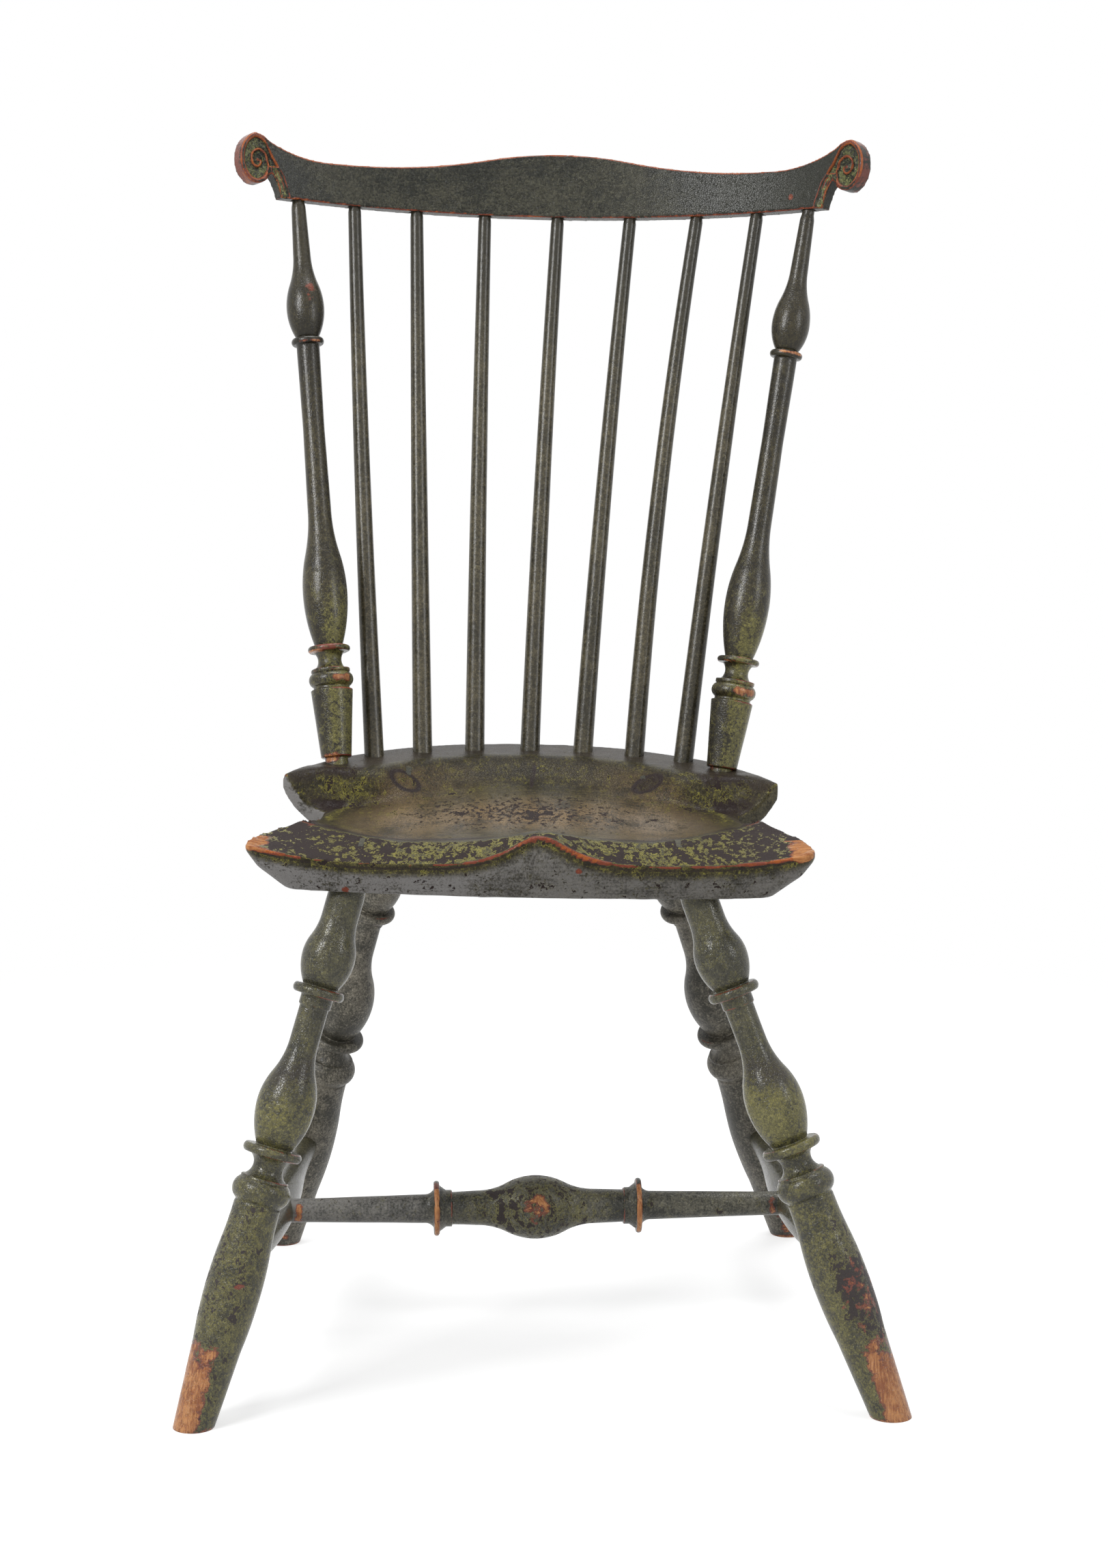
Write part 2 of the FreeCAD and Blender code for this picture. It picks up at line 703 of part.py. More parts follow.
def legSteps(length, rise):
    def up(alias):
        return named(alias) * length / named("LegPatternLength") + rise

    foot = named("LegFootRadius")
    taper = (named("LegTaperRadius"), up("LegTaperHeight"))
    swell = (named("LegSwellRadius"), up("LegSwellHeight"))
    shank = (named("LegShankRadius"), up("LegShankHeight"))
    groove = named("LegGrooveWidth")
    beadLow = up("LegBeadHeight") - named("LegBeadLength") / 2
    beadHigh = up("LegBeadHeight") + named("LegBeadLength") / 2
    filletTop = beadHigh + named("LegFilletLength")
    discLow = up("LegDiscHeight") - named("LegDiscLength") / 2
    discHigh = up("LegDiscHeight") + named("LegDiscLength") / 2
    vase = (named("LegVaseRadius"), up("LegVaseHeight"))
    neck = (named("LegNeckRadius"), up("LegNeckHeight"))
    ringLow = up("LegUpperDiscHeight") - named("LegUpperDiscLength") / 2
    ringHigh = up("LegUpperDiscHeight") + named("LegUpperDiscLength") / 2
    ball = (named("LegBallRadius"), up("LegBallHeight"))
    top = (named("LegTopRadius"), up("LegTopHeight"))
    shoulder = length - named("LegTenonShoulder")
    tenonTop = length + named("LegTenonLength")
    steps = [(nothing, -overrun), (foot, -overrun), taper, bellyStep(taper, swell)]
    steps += fallSteps(swell, shank, shankTurnShare)
    steps += [(shank[0] - named("LegGrooveDepth"), (shank[1] + beadLow) / 2),
              (shank[0], beadLow),
              beadStep(beadLow, beadHigh, named("LegShankRadius"), named("LegBeadRadius")),
              (named("LegFilletRadius"), beadHigh),
              (named("LegFilletRadius"), filletTop),
              (named("LegCoveMouthRadius"), filletTop),
              coveStep(filletTop, discLow, named("LegCoveMouthRadius"), named("LegCoveRadius"))]
    steps += discSteps(discLow, discHigh, named("LegDiscRadius"), named("LegDiscRoundDepth"))
    steps += [(named("LegVaseFootRadius"), discHigh),
              bellyStep((named("LegVaseFootRadius"), discHigh), vase)]
    steps += fallSteps(vase, neck, upperTurnShare)
    steps += [(neck[0], up("LegCollarHeight")),
              (named("LegCollarRadius"), up("LegCollarHeight")),
              (named("LegCollarRadius"), ringLow)]
    steps += discSteps(ringLow, ringHigh, named("LegUpperDiscRadius"), named("LegDiscRoundDepth"))
    steps += [(named("LegBallFootRadius"), ringHigh),
              bellyStep((named("LegBallFootRadius"), ringHigh), ball)]
    steps += fallSteps(ball, top, ballTurnShare)
    steps += [(top[0], shoulder), (named("LegTenonEndRadius"), tenonTop), (nothing, tenonTop)]
    return steps


floorSlab = doc.addObject("Part::Box", "floor_slab")
slabSpan = (named("FrontFootReach") + named("RearFootBack")) * 2
floorSlab.setExpression("Length", slabSpan.formula)
floorSlab.setExpression("Width", slabSpan.formula)
floorSlab.setExpression("Height", (overrun * 4).formula)
floorSlab.Placement = Placement(Vector(-slabSpan.value / 2, -slabSpan.value / 2,
                                       -overrun.value * 4), Rotation())


# Where a leg's axis stands at the stretchers' height.
def legAtStretcher(legName):
    foot, top = legFoot[legName], legTop[legName]
    height = number("%sStretcherHeight" % legName.split("_")[1].capitalize())
    return foot.add(top.sub(foot).multiply(height / top.z))


# Side stretchers run from leg to leg; the medial one joins their middles.
setback = number("SideStretcherSetback")
sideEnds = {}
for side in sides:
    atFront = legAtStretcher("front_" + side)
    atRear = legAtStretcher("rear_" + side)
    sideEnds[side] = (onAxis(atFront, atRear, setback), onAxis(atRear, atFront, setback))
sideMiddle = {side: sideEnds[side][0].add(sideEnds[side][1]).multiply(0.5) for side in sides}
medialLeft = onAxis(sideMiddle["left"], sideMiddle["right"], number("MedialSetback"))
medialRight = onAxis(sideMiddle["right"], sideMiddle["left"], number("MedialSetback"))

# Bores for the stretchers, open from the far end past the surface they enter.
sideBores = {}
for side in sides:
    start, end = sideEnds[side]
    reach = number("LegSwellRadius") + number("CutOverrun")
    endPlay = number("BoreEndClearance")
    boreRadius = named("StretcherTenonRadius") + clearance
    sideBores["front_" + side] = addBore("stretcher_bore_front_" + side, boreRadius,
                                         onAxis(start, end, -endPlay), onAxis(start, end, reach))
    sideBores["rear_" + side] = addBore("stretcher_bore_rear_" + side, boreRadius,
                                        onAxis(end, start, -endPlay), onAxis(end, start, reach))
medialReach = number("SideStretcherBulbRadius") + number("CutOverrun")
medialBores = {
    "left": addBore("medial_bore_left", named("StretcherTenonRadius") + clearance,
                    onAxis(medialLeft, medialRight, -number("BoreEndClearance")),
                    onAxis(medialLeft, medialRight, medialReach)),
    "right": addBore("medial_bore_right", named("StretcherTenonRadius") + clearance,
                     onAxis(medialRight, medialLeft, -number("BoreEndClearance")),
                     onAxis(medialRight, medialLeft, medialReach)),
}

# Each leg, its tapered bore through the seat and the wedge in its tenon.
nodes = []
seatBores = []
for legName in legNames:
    foot, top = legFoot[legName], legTop[legName]
    length = storeLength("Length_leg_" + legName, top.sub(foot).Length)
    shoulder = length.value - number("LegTenonShoulder")
    tenonTop = length.value + number("LegTenonLength")
    rise = named("%s%sPatternRise" % tuple(word.capitalize() for word in legName.split("_")))
    turning = addTurning("leg_" + legName, legSteps(length, rise), alongAxis(foot, top))
    tenonFrom, tenonTo = onAxis(foot, top, shoulder), onAxis(foot, top, tenonTop)
    seatBores.append(addBore("seat_bore_" + legName, named("LegTopRadius") + clearance,
                             tenonFrom, tenonTo, named("LegTenonEndRadius") + clearance))
    envelope = addBore("tenon_envelope_" + legName, named("LegTopRadius"),
                       tenonFrom, tenonTo, named("LegTenonEndRadius"))
    blade = doc.addObject("Part::Wedge", "wedge_blade_" + legName)
    headHeight = rimHeight - number("FrontRidgeDepth")
    headAt = length.value * headHeight / top.z
    bladeFrom = headAt - number("WedgeDepth")
    bladeLength = storeLength("Length_wedge_" + legName, tenonTop - bladeFrom)
    spread = (named("WedgeHeadThickness") - named("WedgeTipThickness")) / named("WedgeDepth")
    tipHalf = named("WedgeTipThickness") / 2
    headHalf = tipHalf + spread * bladeLength / 2
    for slot, value in (("Xmin", -tipHalf), ("Xmax", tipHalf), ("X2min", -headHalf),
                        ("X2max", headHalf), ("Ymin", nothing), ("Ymax", bladeLength),
                        ("Zmin", -named("LegTopRadius")), ("Zmax", named("LegTopRadius")),
                        ("Z2min", -named("LegTopRadius")), ("Z2max", named("LegTopRadius"))):
        setattr(blade, slot, value.value)
        blade.setExpression(slot, value.formula)
    upright = Placement(Vector(0, 0, 0), Rotation(Vector(1, 0, 0), 90))
    lean = Rotation(Vector(0, 0, 1), top.sub(foot))
    blade.Placement = Placement(onAxis(foot, top, bladeFrom), lean).multiply(upright)
    blank = doc.addObject("Part::Common", "wedge_blank_" + legName)
    blank.Base = blade
    blank.Tool = envelope
    nodes.append(addCut("leg_" + legName, turning,
                        [floorSlab, saddleTool, sideBores[legName], blade]))
    nodes.append(addCut("leg_wedge_" + legName, blank, [saddleTool]))

# Side stretchers, swelling to the middle.
for side in sides:
    start, end = sideEnds[side]
    length = storeLength("Length_side_stretcher_" + side, end.sub(start).Length)
    tenon = named("StretcherTenonRadius")
    bulb = (named("SideStretcherBulbRadius"), length / 2)
    low = (tenon, named("SideStretcherStraight"))
    high = (tenon, length - named("SideStretcherStraight"))
    turnLow, nearLow, nearBulb = sCurve(low, bulb, sideTurnShare)
    steps = [(nothing, nothing), (tenon, nothing), low,
             (turnLow[0], turnLow[1], nearLow, -1), (bulb[0], bulb[1], nearBulb, 1)]
    steps += fallSteps(bulb, high, 1 - sideTurnShare)
    steps += [(tenon, length), (nothing, length)]
    turning = addTurning("side_stretcher_" + side, steps, alongAxis(start, end))
    nodes.append(addCut("side_stretcher_" + side, turning, [medialBores[side]]))


# Medial stretcher: each half runs from its end to the bulb in the middle.
def medialHalf(centre, discReach):
    tenon = named("StretcherTenonRadius")
    discOut = centre - discReach - named("MedialDiscLength") / 2
    discIn = discOut + named("MedialDiscLength")
    cove = named("MedialDiscInnerRadius")
    edge = named("MedialDiscRadius") - named("MedialDiscRoundDepth")
    round_ = arcRadius(named("MedialDiscLength") / 2, named("MedialDiscRoundDepth"))
    flareEnd = discIn + named("MedialFlareLength")
    collarEnd = flareEnd + named("MedialCollarLength")
    coveReach = named("MedialCoveLength")
    coveRise = (edge - cove) * 0.45
    coveRadius = (coveReach * coveReach + coveRise * coveRise) / (coveRise * 2)
    flareRise = (edge - named("MedialFlareRadius")) * 0.5
    bulb = (named("MedialBulbRadius"), centre)
    foot = (named("MedialBulbFootRadius"), centre - named("MedialBulbReach"))
    turn, nearFoot, nearBulb = sCurve(foot, bulb, bulbTurnShare)
    half = [(tenon, nothing, None, 0), (tenon, named("MedialTenonLength"), None, 0),
            (cove, discOut - coveReach, None, 0),
            (cove + coveRise, discOut, coveRadius, -1),
            (edge, discOut, None, 0), (edge, discIn, round_, 1),
            (named("MedialFlareRadius") + flareRise, discIn, None, 0),
            (named("MedialCollarRadius"), flareEnd, None, 0),
            (named("MedialCollarRadius"), collarEnd, None, 0),
            (named("MedialShaftRadius"), collarEnd, None, 0),
            (foot[0], foot[1], None, 0), (turn[0], turn[1], nearFoot, -1),
            (bulb[0], bulb[1], nearBulb, 1)]
    return half


def joinedHalves(half, otherHalf, centre):
    steps = [(nothing, nothing)]
    for u, v, radius, side in half:
        steps.append((u, v) if radius is None else (u, v, radius, side))
    for index in range(len(otherHalf) - 1, 0, -1):
        u, v = otherHalf[index - 1][0], centre * 2 - otherHalf[index - 1][1]
        radius, side = otherHalf[index][2], otherHalf[index][3]
        steps.append((u, v) if radius is None else (u, v, radius, side))
    steps.append((nothing, centre * 2))
    return steps


medialCentre = storeLength("Length_medial_half", medialRight.sub(medialLeft).Length / 2)
medialOutline = joinedHalves(medialHalf(medialCentre, named("MedialLeftDiscReach")),
                             medialHalf(medialCentre, named("MedialRightDiscReach")),
                             medialCentre)
medial = addTurning("medial", medialOutline, alongAxis(medialLeft, medialRight))
medial.Label = "medial_stretcher"
nodes.append(medial)

# Crest rail in its own upright frame: x along the chord, y backwards, z up the board.
crestPlace = Placement(spot(number("CrestShift"), number("CrestBack"), number("CrestHeight")),
                       Rotation(Vector(0, 0, 1), -number("CrestTurn")))
crestPlace = crestPlace.multiply(Placement(Vector(0, 0, 0),
                                           Rotation(Vector(0, 1, 0), number("CrestRoll"))))
crestPlace = crestPlace.multiply(Placement(Vector(0, 0, 0),
                                           Rotation(Vector(1, 0, 0), -number("CrestRake"))))


def crestAngle(reach):
    return math.asin(reach / crestRadius)


def crestSpot(angle, height, out):
    radius = crestRadius + out
    inBoard = Vector(radius * math.sin(angle), radius * math.cos(angle) - crestRadius, height)
    return crestPlace.multVec(inBoard)


# Each post and spindle: its axis from the seat to the crest's underside.
postAxes = {}
for side in sides:
    bottomX, topX = number("PostReach"), number("PostTopReach")
    if side == "left":
        bottomX += number("LeftPostStep")
        topX += number("LeftPostTopStep")
    bottom = onSeat(sides[side] * bottomX, number("PostBack"), 0)
    postAxes[side] = (bottom, crestSpot(sides[side] * crestAngle(topX), 0, 0))
spindleAxes = []
for place in range(-3, 4):
    word = ("Middle", "One", "Two", "Three")[abs(place)]
    back = number("Spindle%sBack" % word)
    side = (place > 0) - (place < 0)
    bottomX = side * number("Spindle%sReach" % word) if place else 0
    topX = side * number("Spindle%sTopReach" % word) if place else 0
    bottomX -= number("SpindleStep%d" % (place + 4))
    spindleAxes.append((onSeat(bottomX, back, 0), crestSpot(crestAngle(topX), 0, 0)))


# Pegs run straight through the board and the post tenon inside it.
def pegEnds(side):
    bottom, top = postAxes[side]
    along = top.sub(bottom).normalize()
    inside = crestPlace.inverse().multVec(top.add(along.multiply(number("PegHeight"))))
    angle = math.atan2(inside.x, inside.y + crestRadius)
    return (crestSpot(angle, inside.z, -halfCrest), crestSpot(angle, inside.z, halfCrest))


pegBores = {}
pegs = []
for side in sides:
    front, back = pegEnds(side)
    peg = addBore("post_peg_" + side, named("PegRadius"), front, back)
    peg.Label = "post_peg_" + side
    pegs.append(peg)
    pegBores[side] = addBore("peg_bore_" + side, named("PegRadius") + named("PegClearance"),
                             onAxis(front, back, -overrun.value), onAxis(back, front, -overrun.value))


def postSteps(length, drop, ballDrop):
    def up(alias):
        return named(alias) * length / named("PostPatternLength") - drop

    tenon = named("PostTenonRadius")
    depth = named("PostTenonDepth")
    shoulder = named("PostShoulderHeight")
    plugTop = up("PostPlugHeight")
    beadLow = plugTop + named("PostGrooveWidth")
    beadHigh = beadLow + named("PostBeadLength")
    filletTop = beadHigh + named("PostFilletLength")
    discLow = up("PostDiscHeight") - named("PostDiscLength") / 2
    discHigh = up("PostDiscHeight") + named("PostDiscLength") / 2
    vase = (named("PostVaseRadius"), up("PostVaseHeight"))
    neck = (named("PostNeckRadius"), up("PostNeckHeight"))
    ringLow = up("PostRingHeight") - named("PostRingLength") / 2
    ringHigh = up("PostRingHeight") + named("PostRingLength") / 2
    ball = (named("PostBallRadius"), up("PostBallHeight") - ballDrop)
    tip = (named("PostTipRadius"), up("PostTipHeight") - ballDrop)
    crestTenon = named("PostCrestTenonRadius")
    steps = [(nothing, -depth), (tenon, -depth), (tenon, shoulder),
             (named("PostPlugFootRadius"), shoulder),
             (named("PostPlugRadius"), plugTop),
             (named("PostPlugRadius") - named("PostGrooveDepth"), plugTop),
             (named("PostBeadBaseRadius"), beadLow),
             beadStep(beadLow, beadHigh, named("PostBeadBaseRadius"), named("PostBeadRadius")),
             (named("PostFilletRadius"), beadHigh),
             (named("PostFilletRadius"), filletTop),
             (named("PostCoveMouthRadius"), filletTop),
             coveStep(filletTop, discLow, named("PostCoveMouthRadius"), named("PostCoveRadius"))]
    steps += discSteps(discLow, discHigh, named("PostDiscRadius"), named("PostDiscRoundDepth"))
    steps += [(named("PostVaseFootRadius"), discHigh),
              bellyStep((named("PostVaseFootRadius"), discHigh), vase)]
    steps += fallSteps(vase, neck, postTurnShare)
    steps += [(named("PostShaftRadius"), up("PostShaftHeight")),
              (named("PostCollarRadius"), up("PostCollarHeight")),
              (named("PostCollarRadius"), ringLow)]
    steps += discSteps(ringLow, ringHigh, named("PostRingRadius"), named("PostRingRoundDepth"))
    steps += [(named("PostBallFootRadius"), ringHigh),
              bellyStep((named("PostBallFootRadius"), ringHigh), ball)]
    steps += fallSteps(ball, tip, postBallTurnShare)
    steps += [(named("PostCrestRadius"), length - named("PostCrestNeckLength")),
              (crestTenon, length - clearance),
              (crestTenon, length + named("PostCrestTenonDepth")),
              (nothing, length + named("PostCrestTenonDepth"))]
    return steps


crestBores = []
for side in sides:
    bottom, top = postAxes[side]
    length = storeLength("Length_back_post_" + side, top.sub(bottom).Length)
    drop = named(side.capitalize() + "PostDrop")
    ballDrop = named("RightBallDrop") if side == "right" else nothing
    turning = addTurning("back_post_" + side, postSteps(length, drop, ballDrop),
                         alongAxis(bottom, top))
    nodes.append(addCut("back_post_" + side, turning, [pegBores[side]]))
    endPlay = number("BoreEndClearance")
    seatBores.append(addBore("post_socket_" + side, named("PostTenonRadius") + clearance,
                             onAxis(bottom, top, -number("PostTenonDepth") - endPlay),
                             onAxis(bottom, top, overrun.value)))
    crestBores.append(addBore("crest_socket_" + side, named("PostCrestTenonRadius") + clearance,
                              onAxis(top, bottom, overrun.value),
                              onAxis(top, bottom, -number("PostCrestTenonDepth") - endPlay)))


# A round section of a spindle, set off sideways by its bow.
def drawSection(body, name, level, aside, radius):
    sketch = body.newObject("Sketcher::SketchObject", name)
    planes = [f for f in body.Origin.OriginFeatures if f.Role == "XY_Plane"]
    sketch.AttachmentSupport = [(planes[0], "")]
    sketch.MapMode = "FlatFace"
    sketch.AttachmentOffset = Placement(Vector(0, 0, level.value), Rotation())
    sketch.setExpression("AttachmentOffset.Base.z", level.formula)
    circle = Part.Circle(Vector(-aside.value, 0, 0), Vector(0, 0, 1), radius.value)
    sketch.addGeometry(circle, False)
    rules = [Sketcher.Constraint("Radius", 0, radius.value),
             Sketcher.Constraint("PointOnObject", 0, 3, -1)]
    if aside.value:
        rules.append(Sketcher.Constraint("DistanceX", 0, 3, -1, 1, aside.value))
    else:
        rules.append(Sketcher.Constraint("PointOnObject", 0, 3, -2))
    sketch.addConstraint(rules)
    sketch.setExpression("Constraints[0]", radius.formula)
    if aside.value:
        sketch.setExpression("Constraints[2]", aside.formula)
    return sketch


def addRevolvedEnd(body, name, steps):
    sketch = drawOutline(body, name + "_profile", "XZ_Plane", steps)
    end = body.newObject("PartDesign::Revolution", name)
    end.Profile = sketch
    end.ReferenceAxis = (sketch, ["V_Axis"])
    end.Angle = 360
    sketch.Visibility = False


# Each spindle tapers to the crest and bows a little sideways between its two tenons.
for index, (bottom, top) in enumerate(spindleAxes, 1):
    length = storeLength("Length_spindle_%d" % index, top.sub(bottom).Length)
    seatDepth = named("SpindleSeatDepth")
    crestDepth = named("SpindleCrestTenonDepth")
    wide = named("SpindleSeatRadius")
    slim = named("SpindleCrestRadius")
    tenon = named("SpindleCrestTenonRadius")
    bow = named("SpindleBow%d" % index)
    foot = named("PostShoulderHeight")
    neck = length - named("SpindleCrestNeckLength")
    spindle = doc.addObject("PartDesign::Body", "spindle_%d_body" % index)
    addRevolvedEnd(spindle, "spindle_%d_foot" % index, [
        (nothing, -seatDepth), (wide, -seatDepth), (wide, foot), (nothing, foot)])
    sections = []
    for place in range(spindleSections + 1):
        along = place / spindleSections
        bowHere = bow * (4 * along * (1 - along))
        sections.append(drawSection(spindle, "spindle_%d_section_%d" % (index, place),
                                    foot + (neck - foot) * along, bowHere,
                                    wide + (slim - wide) * along))
    loft = spindle.newObject("PartDesign::AdditiveLoft", "spindle_%d_shaft" % index)
    loft.Profile = sections[0]
    loft.Sections = sections[1:]
    addRevolvedEnd(spindle, "spindle_%d_tip" % index, [
        (nothing, neck), (slim, neck), (tenon, length - clearance),
        (tenon, length + crestDepth), (nothing, length + crestDepth)])
    spindle.Placement = alongAxis(bottom, top)
    spindle.Label = "spindle_%d" % index
    nodes.append(spindle)
    endPlay = number("BoreEndClearance")
    seatBores.append(addBore("spindle_socket_%d" % index, wide + clearance,
                             onAxis(bottom, top, -seatDepth.value - endPlay),
                             onAxis(bottom, top, overrun.value)))
    crestBores.append(addBore("crest_spindle_socket_%d" % index, tenon + clearance,
                              onAxis(top, bottom, overrun.value),
                              onAxis(top, bottom, -crestDepth.value - endPlay)))

nodes.append(addCut("seat", seatBody, [saddleTool] + seatBores))


noAngle = Size(0.0, "0 deg")
innerExtraAngle = Size(1.0, "1 deg")


# Part of the bent board between two angles, as a sector of a ring on the crest's bend.
def boardSector(label, fromReach, sweep):
    rings = []
    for word, radius, longer in (("outer", named("CrestBendRadius") + named("CrestThickness") / 2, 0),
                                 ("inner", named("CrestBendRadius") - named("CrestThickness") / 2, 1)):
        ring = doc.addObject("Part::Cylinder", "%s_%s" % (label, word))
        ring.setExpression("Radius", radius.formula)
        height = named("VoluteTop") + overrun * (2 + 2 * longer)
        ring.setExpression("Height", height.formula)
        extra = innerExtraAngle if longer else noAngle
        ring.setExpression("Angle", (sweep + extra * 2).formula)
        # a cylinder sector opens from the x axis; here angles are taken from the y axis
        opening = 90 - math.degrees(crestAngle(fromReach)) - sweep.value - extra.value
        ring.Placement = Placement(Vector(0, -crestRadius, -overrun.value * (1 + longer)),
                                   Rotation(Vector(0, 0, 1), opening))
        rings.append(ring)
    sector = doc.addObject("Part::Cut", label)
    sector.Base, sector.Tool = rings
    return sector


troughAngle = arcSine(named("CrestTroughReach") / named("CrestBendRadius"))

# The middle of the crest, sawn to its crown between the two troughs.
crown = (named("CrestCrownHeight"), nothing)
trough = (named("CrestTroughHeight"), named("CrestTroughReach"))
crownTurn, nearCrown, nearTrough = sCurve(crown, trough, crownTurnShare)
wide = named("CrestTroughReach") + overrun
middleBody = doc.addObject("PartDesign::Body", "crest_middle_board")
middleOutline = drawOutline(middleBody, "crest_middle_outline", "XZ_Plane", [
    (wide, nothing), (wide, named("CrestTroughHeight")),
    (trough[1], trough[0]),
    (crownTurn[1], crownTurn[0], nearTrough, -1),
    (-crownTurn[1], crownTurn[0], nearCrown, 1),
    (-trough[1], trough[0], nearTrough, -1),
    (-wide, named("CrestTroughHeight")), (-wide, nothing)])
middlePad = middleBody.newObject("PartDesign::Pad", "crest_middle_pad")
middlePad.Profile = middleOutline
middlePad.Midplane = True
middlePad.setExpression("Length", (named("CrestTroughReach") * 2).formula)
middleSector = boardSector("crest_middle_ring", -number("CrestTroughReach"), troughAngle * 2)
crestMiddle = doc.addObject("Part::Common", "crest_middle")
crestMiddle.Base = middleBody
crestMiddle.Tool = middleSector

# Each end is sawn square to the board at its volute.
crestEnds = []
for side in sides:
    turn = sides[side]
    voluteReach = named(side.capitalize() + "VoluteReach")
    voluteAngle = arcSine(voluteReach / named("CrestBendRadius"))
    endAngle = arcSine((voluteReach + named("VoluteHalfWidth") + overrun)
                       / named("CrestBendRadius"))
    inward = named("CrestBendRadius") * sine(voluteAngle - troughAngle)

    def endPoint(u, v, radius=None, centre=0):
        u = u if turn > 0 else -u
        return (u, v) if radius is None else (u, v, radius, centre * turn)

    half = named("VoluteHalfWidth")
    drop = named(side.capitalize() + "VoluteDrop")
    endBody = doc.addObject("PartDesign::Body", "crest_end_board_" + side)
    endOutline = drawOutline(endBody, "crest_end_outline_" + side, "XZ_Plane", [
        endPoint(-(inward + overrun), nothing),
        endPoint(-named("EndCornerInset"), nothing),
        endPoint(-named("NotchInset"), named("NotchHeight") - drop, named("EndCurveRadius"), -1),
        endPoint(nothing, named("VoluteBottom") - drop, named("VoluteHookRadius"), 1),
        endPoint(half, named("VoluteMiddle") - drop, named("VoluteSideRadius"), 1),
        endPoint(nothing, named("VoluteTop") - drop, named("VoluteSideRadius"), 1),
        endPoint(-named("CrestNeckInset"), named("CrestNeckHeight") - drop,
                 named("VoluteShoulderRadius"), 1),
        endPoint(-inward, named("CrestTroughHeight"), named("CrestNeckRadius"), -1),
        endPoint(-(inward + overrun), named("CrestTroughHeight"))])
    endPad = endBody.newObject("PartDesign::Pad", "crest_end_pad_" + side)
    endPad.Profile = endOutline
    endPad.Midplane = True
    endPad.setExpression("Length", (named("CrestThickness") * 6).formula)
    angle = turn * math.radians(voluteAngle.value)
    centreSpot = Vector(crestRadius * math.sin(angle), crestRadius * (math.cos(angle) - 1), 0)
    endBody.Placement = Placement(centreSpot, Rotation(Vector(0, 0, 1), -math.degrees(angle)))
    fromReach = number("CrestTroughReach")
    if turn < 0:
        fromReach = -voluteReach.value - number("VoluteHalfWidth") - overrun.value
    sector = boardSector("crest_end_ring_" + side, fromReach, endAngle - troughAngle)
    crestEnd = doc.addObject("Part::Common", "crest_end_" + side)
    crestEnd.Base = endBody
    crestEnd.Tool = sector
    crestEnds.append(crestEnd)
crestBoard = doc.addObject("Part::MultiFuse", "crest_board")
crestBoard.Shapes = [crestMiddle] + crestEnds
crestBoard.Refine = True
crestBoard.Placement = crestPlace
nodes.append(addCut("crest_rail", crestBoard, crestBores + list(pegBores.values())))
nodes += pegs

doc.recompute()

for item in doc.Objects:
    if "Invalid" in item.State or "Error" in item.State:
        raise RuntimeError("%s did not build: %s" % (item.Label, item.State))
os.makedirs("parts", exist_ok=True)
for node in nodes:
    shape = node.Shape
    if shape.isNull() or not shape.isValid() or len(shape.Solids) != 1:
        raise RuntimeError("%s is not one sound solid" % node.Label)
    shape.exportStep("parts/%s.step" % node.Label)
    box = shape.optimalBoundingBox(False)
    print("%-24s %9.0f mm3  x %.1f to %.1f  y %.1f to %.1f  z %.1f to %.1f" % (
        node.Label, shape.Volume, box.XMin, box.XMax, box.YMin, box.YMax, box.ZMin, box.ZMax))
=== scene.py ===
import math
from functools import partial

import bpy
import numpy as np
from mathutils import Matrix, Vector, kdtree, noise
from mathutils.bvhtree import BVHTree


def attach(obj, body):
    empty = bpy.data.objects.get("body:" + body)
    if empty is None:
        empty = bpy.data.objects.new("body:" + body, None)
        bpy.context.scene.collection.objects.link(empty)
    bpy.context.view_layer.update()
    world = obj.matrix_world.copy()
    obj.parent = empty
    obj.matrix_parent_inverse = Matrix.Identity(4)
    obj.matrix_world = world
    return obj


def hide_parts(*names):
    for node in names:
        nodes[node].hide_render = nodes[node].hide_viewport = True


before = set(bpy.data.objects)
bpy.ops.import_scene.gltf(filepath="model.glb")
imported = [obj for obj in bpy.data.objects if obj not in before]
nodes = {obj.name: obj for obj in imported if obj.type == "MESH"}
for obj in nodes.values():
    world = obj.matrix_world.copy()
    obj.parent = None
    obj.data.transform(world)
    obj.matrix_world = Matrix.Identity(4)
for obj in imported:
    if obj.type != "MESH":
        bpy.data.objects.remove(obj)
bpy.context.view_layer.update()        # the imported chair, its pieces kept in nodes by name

mm = 0.001


# helpers for selecting and finishing, as a user does by hand
def deselectAll():
    for obj in bpy.context.selected_objects:
        obj.select_set(False)


def makeActive(obj):
    deselectAll()
    obj.select_set(True)
    bpy.context.view_layer.objects.active = obj


def applyModifiers(obj):
    makeActive(obj)
    for modifier in list(obj.modifiers):
        bpy.ops.object.modifier_apply(modifier=modifier.name)


# edit mode operators, one after the other, each on all of a piece
def editAll(piece, *steps):
    makeActive(piece)
    bpy.ops.object.mode_set(mode="EDIT")
    for operator, settings in steps:
        bpy.ops.mesh.select_all(action="SELECT")
        operator(**settings)
    bpy.ops.mesh.select_all(action="DESELECT")
    bpy.ops.object.mode_set(mode="OBJECT")


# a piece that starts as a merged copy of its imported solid
def copyNode(node, name):
    piece = bpy.data.objects.new(name, nodes[node].data.copy())
    bpy.context.collection.objects.link(piece)
    piece.data.materials.clear()
    editAll(piece, (bpy.ops.mesh.remove_doubles, {"threshold": 0.004 * mm}))
    return piece


def cutPlane(piece, place, normal, keepBelow):
    editAll(piece, (bpy.ops.mesh.bisect, {"plane_co": place, "plane_no": normal, "use_fill": True,
                                          "clear_outer": keepBelow, "clear_inner": not keepBelow}))


def joinInto(piece, others):
    makeActive(piece)
    for other in others:
        other.select_set(True)
    bpy.ops.object.join()


